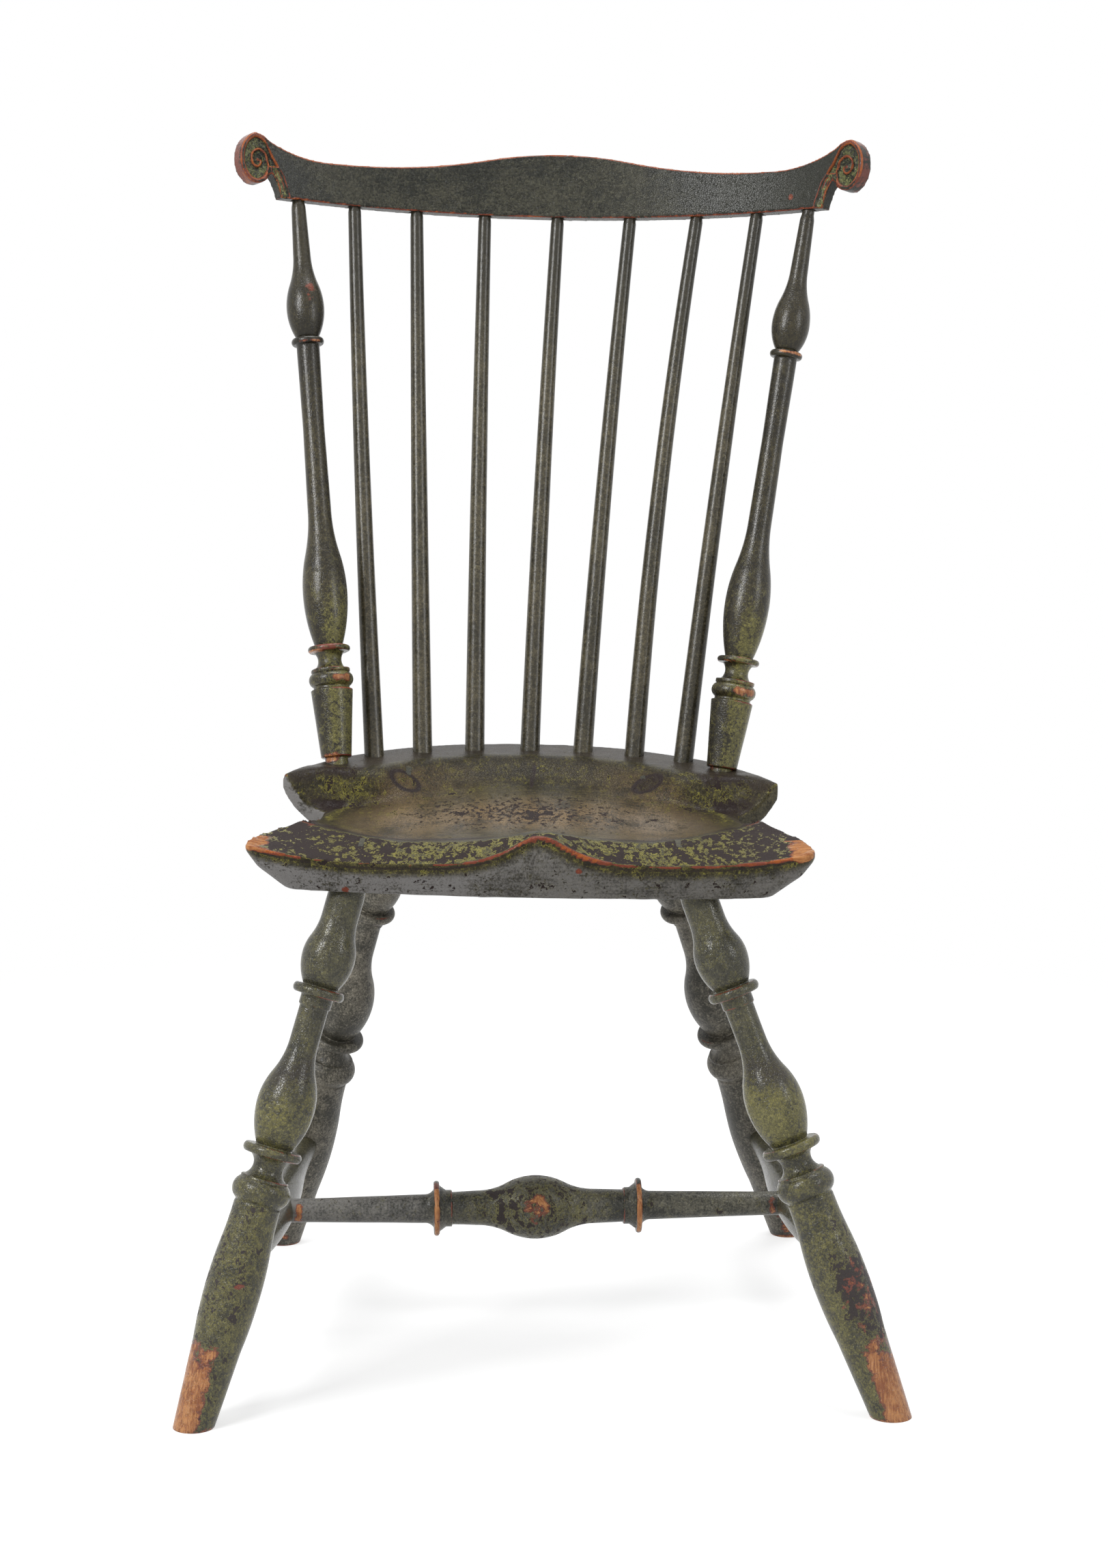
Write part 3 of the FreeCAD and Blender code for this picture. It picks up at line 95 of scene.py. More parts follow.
def corners(mesh):
    points = np.empty(len(mesh.vertices) * 3)
    mesh.vertices.foreach_get("co", points)
    return points.reshape(-1, 3)


def setCorners(mesh, points):
    mesh.vertices.foreach_set("co", points.ravel())
    mesh.update()


def readNormals(mesh):
    normals = np.empty(len(mesh.vertices) * 3)
    mesh.vertices.foreach_get("normal", normals)
    return normals.reshape(-1, 3)


# a slightly grown copy of what sits in a bore, cut to the part that closes it
def makePlug(node, growth, place, normal, keepBelow=False):
    plug = copyNode(node, "plug")
    if growth:
        setCorners(plug.data, corners(plug.data) + readNormals(plug.data) * growth)
    cutPlane(plug, place, normal, keepBelow)
    return plug


def remeshPiece(piece, voxel, smoothSteps):
    remesh = piece.modifiers.new("remesh", "REMESH")
    remesh.mode = "VOXEL"
    remesh.voxel_size = voxel
    remesh.use_smooth_shade = True
    if smoothSteps:
        smooth = piece.modifiers.new("soften", "SMOOTH")
        smooth.factor = 0.5
        smooth.iterations = smoothSteps
    applyModifiers(piece)


# the axis that every surface normal of a turned piece meets, and the turned length on it
def findAxis(node):
    mesh = nodes[node].data
    points = corners(mesh)
    mesh.calc_loop_triangles()
    triangles = np.empty(len(mesh.loop_triangles) * 3, int)
    mesh.loop_triangles.foreach_get("vertices", triangles)
    a, b, c = (points[triangles[i::3]] for i in range(3))
    centres = (a + b + c) / 3
    normals = np.cross(b - a, c - a)
    weights = np.linalg.norm(normals, axis=1)
    normals = normals / np.maximum(weights, 1e-15)[:, None]
    middle = points.mean(0)
    arms = np.cross(centres - middle, normals)
    kept = weights > 1e-12
    for attempt in range(6):
        rows = np.hstack([normals, arms])[kept] * np.sqrt(weights[kept])[:, None]
        square = rows.T @ rows
        near, cross, far = square[:3, :3], square[:3, 3:], square[3:, 3:]
        values, vectors = np.linalg.eigh(far - cross.T @ np.linalg.solve(near, cross))
        along = vectors[:, 0]
        moment = -np.linalg.solve(near, cross @ along)
        miss = np.abs(normals @ moment + arms @ along)
        kept = (weights > 1e-12) & (miss < (4 if attempt < 2 else 0.6) * mm)
    point = middle + np.cross(along, moment)
    if along[2] < 0:
        along = -along
    spans = (points - point) @ along
    return point, along, spans.min(), spans.max()


# camera at the photograph's place; the tilt puts the lens centre in the middle of the frame
cameraView = {
    "place": (-3.9 * mm, -3304.4 * mm, 1147.7 * mm),
    "tiltDown": 11.998,
    "roll": 0.252,
    "turn": -0.179,
    "lens": 96.85,
}


def addCamera():
    data = bpy.data.cameras.new("view")
    data.lens = cameraView["lens"]
    data.sensor_width = 36
    data.clip_end = 30
    camera = bpy.data.objects.new("view", data)
    bpy.context.collection.objects.link(camera)
    turn = Matrix.Rotation(math.radians(cameraView["turn"]), 4, "Z")
    tilt = Matrix.Rotation(math.radians(90 - cameraView["tiltDown"]), 4, "X")
    roll = Matrix.Rotation(math.radians(cameraView["roll"]), 4, "Z")
    camera.matrix_world = Matrix.Translation(cameraView["place"]) @ turn @ tilt @ roll
    bpy.context.scene.camera = camera


addCamera()
print("camera placed")

studio = {
    "floorSize": 16.0,
    "floorPaper": (0.86, 0.86, 0.86, 1),
    "floorShade": (0.5, 0.5, 0.5, 1),
    "floorGlow": 0.65,
    "wallFill": 0.34,
    "keyPower": 72.0,
    "fillPower": 20.0,
    "topPower": 40.0,
    "shadowReach": (0.55, 1.25),
}


def addSoftbox(name, place, aim, size, power):
    data = bpy.data.lights.new(name, "AREA")
    data.shape = "RECTANGLE"
    data.size, data.size_y = size
    data.energy = power
    light = bpy.data.objects.new(name, data)
    bpy.context.collection.objects.link(light)
    light.location = place
    light.rotation_mode = "QUATERNION"
    light.rotation_quaternion = (Vector(aim) - Vector(place)).to_track_quat("-Z", "Y")


addSoftbox("key", (-1.9, -1.7, 2.3), (0, 0, 0.5), (1.1, 1.5), studio["keyPower"])
addSoftbox("fill", (2.2, -1.5, 1.7), (0, 0, 0.5), (0.9, 1.4), studio["fillPower"])
addSoftbox("top", (0.1, 0.5, 2.7), (0, 0, 0.4), (1.6, 1.4), studio["topPower"])


# shader nodes: a socket knows its own tree, so links and sums find it there
def setInput(socket, value):
    if isinstance(value, bpy.types.NodeSocket):
        socket.id_data.links.new(value, socket)
    elif value is not None:
        socket.default_value = value


def treeOf(values):
    return next(value.id_data for value in values if isinstance(value, bpy.types.NodeSocket))


def addNode(tree, kind, **values):
    node = tree.nodes.new("ShaderNode" + kind)
    for label, value in values.items():
        setInput(node.inputs[label], value)
    return node


def calc(operation, *values):
    node = addNode(treeOf(values), "Math")
    node.operation = operation
    for socket, value in zip(node.inputs, values):
        setInput(socket, value)
    return node.outputs[0]


plus, minus, times, timesPlus, larger, smaller = (
    partial(calc, name) for name in ("ADD", "SUBTRACT", "MULTIPLY", "MULTIPLY_ADD", "MAXIMUM", "MINIMUM"))


def fade(value, low, high):
    node = addNode(treeOf([value]), "MapRange")
    node.interpolation_type = "SMOOTHSTEP"
    for socket, number in zip(node.inputs, (value, low, high)):
        setInput(socket, number)
    return node.outputs[0]


def mixShaders(factor, first, second):
    node = addNode(treeOf([factor]), "MixShader")
    for socket, value in zip(node.inputs, (factor, first, second)):
        setInput(socket, value)
    return node.outputs[0]


# 1 where the camera looks, straight or in a reflection
def seenOrMirrored(tree):
    rays = addNode(tree, "LightPath").outputs
    return larger(larger(rays["Is Camera Ray"], rays["Is Glossy Ray"]), rays["Is Transmission Ray"])


def addWorld():
    world = bpy.data.worlds.new("studio")
    bpy.context.scene.world = world
    world.use_nodes = True
    tree = world.node_tree
    tree.nodes.clear()
    seen = addNode(tree, "Background", Color=(1, 1, 1, 1))
    fill = addNode(tree, "Background", Color=(0.97, 0.985, 1, 1), Strength=studio["wallFill"])
    addNode(tree, "OutputWorld", Surface=mixShaders(seenOrMirrored(tree), fill.outputs[0], seen.outputs[0]))


addWorld()


def addFloor():
    bpy.ops.mesh.primitive_plane_add(size=studio["floorSize"], location=(0, 0, 0))
    floor = bpy.context.object
    floor.name = "floor"
    material = bpy.data.materials.new("floor white")
    material.use_nodes = True
    tree = material.node_tree
    tree.nodes.clear()
    paper = addNode(tree, "BsdfDiffuse", Color=studio["floorPaper"])
    dim = addNode(tree, "BsdfDiffuse", Color=studio["floorShade"])
    glow = addNode(tree, "Emission", Strength=studio["floorGlow"])
    white = addNode(tree, "Emission")
    shadowed = addNode(tree, "AddShader")
    setInput(shadowed.inputs[0], dim.outputs[0])
    setInput(shadowed.inputs[1], glow.outputs[0])
    reach = addNode(tree, "VectorMath")
    reach.operation = "LENGTH"
    setInput(reach.inputs[0], addNode(tree, "TexCoord").outputs["Object"])
    away = fade(reach.outputs["Value"], *studio["shadowReach"])
    seen = mixShaders(away, shadowed.outputs[0], white.outputs[0])
    addNode(tree, "OutputMaterial", Surface=mixShaders(seenOrMirrored(tree), paper.outputs[0], seen))
    floor.data.materials.append(material)


deselectAll()
addFloor()
print("studio set")

bpy.context.scene.view_settings.view_transform = "Standard"

legNames = ["leg_%s_%s" % (end, side) for end in ("front", "rear") for side in ("left", "right")]
postNames = ["back_post_left", "back_post_right"]
spindleNames = ["spindle_%d" % count for count in range(1, 8)]
pegNames = ["post_peg_left", "post_peg_right"]


# shader groups shared by every finish
def startGroup(name, inputs, outputs):
    tree = bpy.data.node_groups.new(name, "ShaderNodeTree")
    for sockets, way in ((inputs, "INPUT"), (outputs, "OUTPUT")):
        for label, kind in sockets.items():
            tree.interface.new_socket(label, in_out=way, socket_type="NodeSocket" + kind)
    return tree.nodes.new("NodeGroupInput").outputs, tree.nodes.new("NodeGroupOutput").inputs


def blendColours(factor, first, second):
    node = addNode(treeOf([factor]), "Mix")
    node.data_type = "RGBA"
    for index, value in ((0, factor), (6, first), (7, second)):
        setInput(node.inputs[index], value)
    return node.outputs[2]


def addNoise(vector, scale, detail=3.0, roughness=0.55, distortion=0.0):
    return addNode(treeOf([vector]), "TexNoise", Vector=vector, Scale=scale, Detail=detail,
                   Roughness=roughness, Distortion=distortion).outputs


def stretch(vector, scale, turn=(0, 0, 0)):
    return addNode(treeOf([vector]), "Mapping", Vector=vector, Scale=scale, Rotation=turn).outputs[0]


def useGroup(group, **values):
    node = treeOf(values.values()).nodes.new("ShaderNodeGroup")
    node.node_tree = group
    for label, value in values.items():
        setInput(node.inputs[label], value)
    return node.outputs


# fine cracks in old paint: cells that a noise pushes out of true
def buildCrackle():
    given, result = startGroup("crackle", {"Vector": "Vector", "Cells": "Float", "Width": "Float"},
                               {"Crack": "Float", "Cell": "Float"})
    tree = result["Cell"].id_data
    push = addNode(tree, "VectorMath")
    push.operation = "MULTIPLY_ADD"
    wander = addNoise(given["Vector"], 160.0, 2.0)["Color"]
    for socket, value in zip(push.inputs, (wander, (0.004, 0.004, 0.004), given["Vector"])):
        setInput(socket, value)
    gaps = addNode(tree, "TexVoronoi", Vector=push.outputs[0])
    gaps.feature = "DISTANCE_TO_EDGE"
    setInput(gaps.inputs["Scale"], given["Cells"])
    cells = addNode(tree, "TexVoronoi", Vector=push.outputs[0], Scale=given["Cells"])
    setInput(result["Crack"], fade(gaps.outputs["Distance"], given["Width"], 0.0))
    setInput(result["Cell"], addNode(tree, "SeparateColor", Color=cells.outputs["Color"]).outputs[0])
    return tree


# paint flaked off in ragged islands; the rim is the lifted paint beside them
def buildFlakes():
    given, result = startGroup("flakes", {"Vector": "Vector", "Size": "Float", "Amount": "Float",
                                          "Cell": "Float"}, {"Lost": "Float", "Rim": "Float"})
    broad = addNoise(given["Vector"], given["Size"], 6.0, 0.66, 0.2)["Fac"]
    broad = timesPlus(minus(given["Cell"], 0.5), 0.06, broad)
    level = minus(0.71, times(given["Amount"], 0.3))
    lost = fade(broad, level, plus(level, 0.012))
    rim = fade(broad, minus(level, 0.05), minus(level, 0.02))
    setInput(result["Lost"], lost)
    setInput(result["Rim"], minus(rim, lost))
    return given["Vector"].id_data


# bare maple and pine, with streaks along x of the vector that comes in
def buildBareWood():
    given, result = startGroup("bare wood", {"Vector": "Vector", "Pale": "Color", "Deep": "Color"},
                               {"Color": "Color", "Height": "Float"})
    fibre = stretch(given["Vector"], (26.0, 620.0, 620.0))
    streak = addNoise(fibre, 1.0, 4.0, 0.6)["Fac"]
    cloud = addNoise(given["Vector"], 48.0, 3.0)["Fac"]
    both = plus(times(streak, 0.65), times(cloud, 0.35))
    setInput(result["Color"], blendColours(fade(both, 0.38, 0.62), given["Deep"], given["Pale"]))
    setInput(result["Height"], streak)
    return given["Vector"].id_data


# wear that starts on the arrises and breaks up along them
def buildRub():
    given, result = startGroup("rub", {"Vector": "Vector", "Edge": "Float", "Reach": "Float"},
                               {"Worn": "Float", "Through": "Float"})
    patch = addNoise(given["Vector"], 34.0, 4.0, 0.6)["Fac"]
    grit = addNoise(given["Vector"], 260.0, 4.0, 0.65)["Fac"]
    broken = plus(times(patch, 0.7), times(grit, 0.3))
    push = plus(times(given["Edge"], given["Reach"]), broken)
    setInput(result["Worn"], times(fade(push, 0.72, 0.8), fade(given["Edge"], 0.02, 0.2)))
    setInput(result["Through"], times(fade(push, 0.88, 0.98), fade(given["Edge"], 0.05, 0.3)))
    return given["Vector"].id_data


# mottled old paint with brush streaks along x of the vector that comes in
def buildFilm():
    given, result = startGroup("paint film", {"Vector": "Vector", "Deep": "Color", "Middle": "Color",
                                              "Bright": "Color", "Tint": "Float"},
                               {"Color": "Color", "Mottle": "Float", "Brush": "Float"})
    cloud = addNoise(given["Vector"], 21.0, 5.0, 0.6)["Fac"]
    middle = addNoise(given["Vector"], 95.0, 4.0, 0.62)["Fac"]
    fine = addNoise(given["Vector"], 620.0, 3.0, 0.6)["Fac"]
    brush = addNoise(stretch(given["Vector"], (38.0, 520.0, 520.0)), 1.0, 3.0)["Fac"]
    base = plus(times(cloud, 0.4), times(middle, 0.22))
    base = timesPlus(fine, 0.38, base)
    base = plus(base, times(minus(brush, 0.5), 0.18))
    body = blendColours(fade(base, 0.43, 0.58), given["Deep"], given["Middle"])
    grit = addNoise(given["Vector"], 420.0, 5.0, 0.78)["Fac"]
    speck = plus(times(grit, 0.66), times(middle, 0.34))
    lift = fade(timesPlus(given["Tint"], 0.12, speck), 0.55, 0.65)
    lift = times(lift, smaller(given["Tint"], 0.9))
    setInput(result["Color"], blendColours(lift, body, given["Bright"]))
    setInput(result["Mottle"], base)
    setInput(result["Brush"], brush)
    return given["Vector"].id_data


crackle = buildCrackle()
flakes = buildFlakes()
bareWood = buildBareWood()
rub = buildRub()
film = buildFilm()


# one finish: old green paint over a dark undercoat over bare wood
def makePaint(name, look):
    material = bpy.data.materials.new(name)
    material.use_nodes = True
    tree = material.node_tree
    shader = tree.nodes["Principled BSDF"]
    place = tree.nodes.new("ShaderNodeTexCoord").outputs["Object"]
    along = stretch(place, look["grainStretch"], look["grainTurn"])

    def painted(attribute):
        node = addNode(tree, "Attribute")
        node.attribute_name = attribute
        return node.outputs["Fac"]

    tint = plus(painted("tint"), look["tint"])
    coat = useGroup(film, Vector=along, Deep=look["deep"], Middle=look["middle"],
                    Bright=look["bright"], Tint=tint)
    cracks = useGroup(crackle, Vector=place, Cells=look["cells"], Width=look["crackWidth"])
    amount = plus(painted("flake"), look["flake"])
    grain = stretch(place, look["flakeStretch"])
    lost = useGroup(flakes, Vector=grain, Size=look["flakeSize"], Amount=amount, Cell=cracks["Cell"])
    chips = useGroup(flakes, Vector=grain, Size=look["flakeSize"] * 3.1, Cell=cracks["Cell"],
                     Amount=times(amount, look["chipShare"]))
    worn = useGroup(rub, Vector=place, Edge=painted("edge"), Reach=look["edgeReach"])
    timber = useGroup(bareWood, Vector=along, Pale=look["woodPale"], Deep=look["woodDeep"])
    gone = larger(lost["Lost"], chips["Lost"])
    rim = larger(lost["Rim"], chips["Rim"])
    ragged = minus(addNoise(place, 75.0, 6.0, 0.68)["Fac"], 0.5)
    stripped = timesPlus(ragged, 1.9, painted("bare"))
    bare = fade(stripped, 0.5, 0.55)
    through = larger(worn["Through"], bare)
    halo = times(fade(stripped, 0.38, 0.46), fade(painted("bare"), 0.02, 0.1))
    red = larger(worn["Worn"], times(halo, 0.9))

    # pale grey for dust and for painted sheen: the marks that bring it are partly dust, partly painted
    # reflection of the white surroundings
    dust_and_sheen = times(painted("dust_and_sheen"), fade(coat["Mottle"], 0.34, 0.6))
    warm = times(painted("warm"), fade(coat["Mottle"], 0.36, 0.58))
    shade = timesPlus(cracks["Cell"], look["cellShade"], 1 - look["cellShade"] * 0.5)
    tone = addNode(tree, "VectorMath")
    tone.operation = "SCALE"
    setInput(tone.inputs[0], coat["Color"])
    setInput(tone.inputs["Scale"], shade)
    colour = blendColours(warm, tone.outputs[0], look["warmColour"])
    colour = blendColours(times(cracks["Crack"], look["crackShade"]), colour, look["crackColour"])
    lit = times(rim, smaller(plus(tint, 0.15), look["rimShare"]))
    colour = blendColours(lit, colour, look["bright"])
    colour = blendColours(dust_and_sheen, colour, look["dustAndSheenColour"])
    # painted shade: darker towards the top of a piece over the given heights, added to its dark marks
    height = addNode(tree, "SeparateXYZ", Vector=place).outputs["Z"]
    topShadeAndDark = timesPlus(fade(height, *look["topShadeRise"]), look["topShadeAndDark"], painted("dark"))
    dark = fade(timesPlus(coat["Mottle"], 0.7, topShadeAndDark), 0.55, 0.95)
    colour = blendColours(dark, colour, look["undercoat"])
    colour = blendColours(gone, colour, look["undercoat"])
    colour = blendColours(red, colour, look["redEdge"])
    colour = blendColours(worn["Through"], colour, look["orangeEdge"])
    colour = blendColours(bare, colour, timber["Color"])
    setInput(shader.inputs["Base Color"], colour)

    gloss = timesPlus(coat["Mottle"], 0.22, look["gloss"] - 0.11)
    gloss = plus(gloss, times(dust_and_sheen, 0.25))
    gloss = timesPlus(gone, 0.3, gloss)
    gloss = timesPlus(minus(red, bare), -0.18, gloss)
    setInput(shader.inputs["Roughness"], gloss)
    shader.inputs["Specular IOR Level"].default_value = look["shine"]

    height = times(cracks["Crack"], -0.5)
    height = timesPlus(cracks["Cell"], 0.35, height)
    height = timesPlus(gone, -1.1, height)
    height = timesPlus(rim, 0.35, height)
    height = timesPlus(coat["Brush"], 0.5, height)
    height = timesPlus(coat["Mottle"], 0.5, height)
    height = timesPlus(through, -0.9, height)
    height = timesPlus(times(timber["Height"], through), 0.6, height)
    relief = addNode(tree, "Bump", Strength=1.0, Distance=look["relief"], Height=height)
    setInput(shader.inputs["Normal"], relief.outputs[0])
    return material


paintLook = {
    "grainTurn": (0, math.radians(90), 0),
    "grainStretch": (1.0, 1.0, 1.0),
    "deep": (0.021, 0.021, 0.012, 1),
    "middle": (0.074, 0.068, 0.032, 1),
    "bright": (0.165, 0.15, 0.045, 1),
    "tint": 0.25,
    "cells": 520.0,
    "crackWidth": 0.12,
    "crackShade": 0.6,
    "cellShade": 0.6,
    "crackColour": (0.016, 0.015, 0.011, 1),
    "flake": 0.1,
    "flakeSize": 70.0,
    "flakeStretch": (1.0, 1.0, 0.7),
    "chipShare": 0.9,
    "rimShare": 0.55,
    "undercoat": (0.021, 0.014, 0.013, 1),
    "redEdge": (0.16, 0.04, 0.023, 1),
    "orangeEdge": (0.3, 0.083, 0.022, 1),
    "woodPale": (0.46, 0.21, 0.078, 1),
    "woodDeep": (0.22, 0.07, 0.023, 1),
    # pale grey laid for dust and for painted sheen
    "dustAndSheenColour": (0.185, 0.177, 0.17, 1),
    "warmColour": (0.255, 0.158, 0.066, 1),
    # painted shade towards the top: the heights where it rises and its amount
    "topShadeRise": (0.64, 0.86),
    "topShadeAndDark": 0.0,
    "edgeReach": 0.5,
    "gloss": 0.35,
    "shine": 0.3,
    "relief": 0.24 * mm,
}
turnedPaint = makePaint("turned paint", {**paintLook, "gloss": 0.2, "relief": 0.2 * mm, "shine": 0.42,
                                         "flakeSize": 88.0, "deep": (0.032, 0.03, 0.017, 1),
                                         "middle": (0.076, 0.07, 0.038, 1), "flake": 0.02,
                                         "bright": (0.15, 0.135, 0.04, 1), "tint": 0.2})
medialPaint = makePaint("medial paint", {**paintLook, "gloss": 0.28, "middle": (0.12, 0.113, 0.085, 1),
                                         "relief": 0.16 * mm, "deep": (0.03, 0.03, 0.024, 1),
                                         "tint": 0.15, "flake": 0.02})
rearPaint = makePaint("rear turned paint", {**paintLook, "deep": (0.045, 0.042, 0.032, 1), "flake": -0.05,
                                            "middle": (0.19, 0.172, 0.136, 1), "tint": 0.05, "gloss": 0.4,
                                            "relief": 0.16 * mm, "bright": (0.16, 0.145, 0.07, 1)})
# the back posts darken towards their tops: painted shade
backPaint = makePaint("back paint", {**paintLook, "deep": (0.017, 0.014, 0.008, 1), "tint": 0.06,
                                     "middle": (0.05, 0.041, 0.019, 1), "flake": -0.05, "gloss": 0.2,
                                     "shine": 0.36, "relief": 0.08 * mm, "topShadeAndDark": 0.36,
                                     "undercoat": (0.02, 0.017, 0.011, 1)})
# the spindles darken towards their tops under the crest: painted shade
spindlePaint = makePaint("spindle paint", {**paintLook, "deep": (0.042, 0.037, 0.024, 1), "tint": 0.0,
                                           "middle": (0.094, 0.08, 0.048, 1), "flake": -0.1, "gloss": 0.2,
                                           "shine": 0.34, "relief": 0.05 * mm, "topShadeAndDark": 0.44,
                                           "undercoat": (0.018, 0.017, 0.013, 1)})
seatPaint = makePaint("seat paint", {**paintLook, "grainTurn": (0, 0, 0), "flake": 0.0, "flakeSize": 80.0,
                                     "chipShare": 1.12,
                                     "deep": (0.022, 0.018, 0.009, 1), "middle": (0.064, 0.054, 0.025, 1),
                                     "bright": (0.24, 0.216, 0.042, 1), "tint": 0.0, "cells": 460.0,
                                     "flakeStretch": (0.95, 0.45, 0.8), "gloss": 0.31, "shine": 0.1,
                                     "grainStretch": (1.0, 0.45, 0.8), "rimShare": 1.0})
crestPaint = makePaint("crest paint", {**paintLook, "grainTurn": (0, 0, 0), "deep": (0.018, 0.019, 0.015, 1),
                                       "middle": (0.05, 0.048, 0.033, 1), "tint": 0.0, "flake": -0.12,
                                       "shine": 0.2, "undercoat": (0.017, 0.018, 0.013, 1),
                                       "bright": (0.19, 0.2, 0.07, 1), "cells": 640.0, "cellShade": 0.9,
                                       "edgeReach": 0.7, "gloss": 0.27})
pegPaint = makePaint("peg paint", {**paintLook, "flake": 0.0, "tint": 0.05, "flakeSize": 120.0})


def paintNode(name, material):
    data = nodes[name].data
    data.materials.clear()
    data.materials.append(material)


for name in legNames:
    paintNode(name, turnedPaint if "front" in name else rearPaint)
for name in postNames:
    paintNode(name, backPaint)
for name in spindleNames:
    paintNode(name, spindlePaint)
for name in ("side_stretcher_left", "side_stretcher_right", "medial_stretcher"):
    paintNode(name, turnedPaint)
for name in nodes:
    if "wedge" in name or "peg" in name:
        paintNode(name, pegPaint)
print("finishes made")

# wear and colour zones, and painted shade and painted sheen, are kept on the pieces as point attributes
def setMark(mesh, name, values):
    layer = mesh.attributes.get(name) or mesh.attributes.new(name, "FLOAT", "POINT")
    layer.data.foreach_set("value", np.asarray(values, np.float32))


def fadeTo(values, low, high):
    share = np.clip((values - low) / (high - low), 0, 1)
    return share * share * (3 - 2 * share)


def hangPiece(piece, node, material):
    piece.data.materials.append(material)
    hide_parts(node)
    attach(piece, "root")


# how convex the surface is at each point, from nearby normals, as 1 over a radius
def findArrises(mesh, spreadSteps):
    count = len(mesh.vertices)
    points = corners(mesh)
    normals = readNormals(mesh)
    ends = np.empty(len(mesh.edges) * 2, int)
    mesh.edges.foreach_get("vertices", ends)
    first, second = ends[::2], ends[1::2]
    across = points[second] - points[first]
    opening = ((normals[second] - normals[first]) * across).sum(1)
    bend = opening / np.maximum((across * across).sum(1), 1e-12)
    links = np.bincount(first, minlength=count) + np.bincount(second, minlength=count)
    links = np.maximum(links, 1)
    for step in range(spreadSteps + 1):
        total = np.bincount(first, bend, count) + np.bincount(second, bend, count)
        convex = total / links
        bend = (convex[first] + convex[second]) / 2
    return convex


# seat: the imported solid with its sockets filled, remeshed fine enough to carve and wear
seatPiece = {
    "voxel": 2.1 * mm,
    "smoothSteps": 2,
    "rimHeight": 446.6 * mm,
    "thickness": 48.2 * mm,
    "plugGrowth": 0.5 * mm,
    "roll": 0.9,
}
seatUp = Vector((math.sin(math.radians(seatPiece["roll"])), 0, math.cos(math.radians(seatPiece["roll"]))))


def makeSeat():
    seat = copyNode("seat", "seat_plank")
    underside = Vector((0, 0, seatPiece["rimHeight"] - seatPiece["thickness"] + 0.3 * mm))
    deck = Vector((0, 0, seatPiece["rimHeight"] - 0.3 * mm))
    plugs = [makePlug(name, seatPiece["plugGrowth"], underside, seatUp) for name in legNames]
    plugs += [makePlug(name, 0, deck, seatUp, keepBelow=True) for name in postNames + spindleNames]
    joinInto(seat, plugs)
    remeshPiece(seat, seatPiece["voxel"], seatPiece["smoothSteps"])
    return seat


seatShape = {
    "origin": (13.3, 39.56), "shift": 1.3, "frontReach": 202.0, "frontForward": 166.0, "bow": 12.5,
    "knob": (7.5, 33.0, 1.45), "ridge": (-19.3, 25.3), "tipRise": (11.3, 120.0, 92.9),
    "roll": (46.0, 166.0, 90.0, 85.0, 73.0, 1.6), "level": 0.75,
    "gutter": (15.95, 165.0), "beadHeight": 1.0, "beadWidth": 2.8, "hollow": 3.2,
    "tenons": ((-101.0, 86.0), (96.0, 91.0)), "saddleSmooth": 120, "endsSmooth": 18,
}


# where each point lies on the seat: against the front ridge, the roll's crest and the gutter
def seatPlaces(points):
    size = seatShape
    x = points[:, 0] / mm + size["origin"][0]
    y = points[:, 1] / mm + size["origin"][1]
    lean = math.sin(math.radians(seatPiece["roll"]))
    z = (points[:, 2] - seatPiece["rimHeight"]) / mm + (x - size["shift"]) * lean
    aside = np.abs(x - size["knob"][0])
    knob = np.exp(-(aside / size["knob"][1]) ** size["knob"][2])
    bend = (size["frontReach"] ** 2 + size["bow"] ** 2) / (2 * size["bow"])
    frontY = bend - np.sqrt(bend ** 2 - np.minimum(np.abs(x), 215) ** 2)
    frontY -= size["frontForward"] + size["bow"]
    frontY += np.maximum(np.abs(x) - size["frontReach"], 0) ** 2 * 0.08
    run = np.maximum(aside - size["tipRise"][1], 0) / size["tipRise"][2]
    ridgeZ = size["ridge"][0] + size["ridge"][1] * knob + size["tipRise"][0] * run ** 2
    ridgeZ += x * lean * size["level"]
    sweep = np.maximum(np.abs(x) - size["roll"][2], 0) / size["roll"][3]
    crestY = size["roll"][0] * (1 - knob) - size["roll"][1] + size["roll"][4] * sweep ** size["roll"][5]
    gutter = np.hypot(x, y + size["gutter"][0]) - size["gutter"][1]
    return {"x": x, "y": y, "z": z, "knob": knob, "behind": y - frontY, "below": ridgeZ - z,
            "past": y - crestY, "gutter": gutter}


def bump(values, centre, width):
    return np.exp(-((values - centre) / width) ** 2)


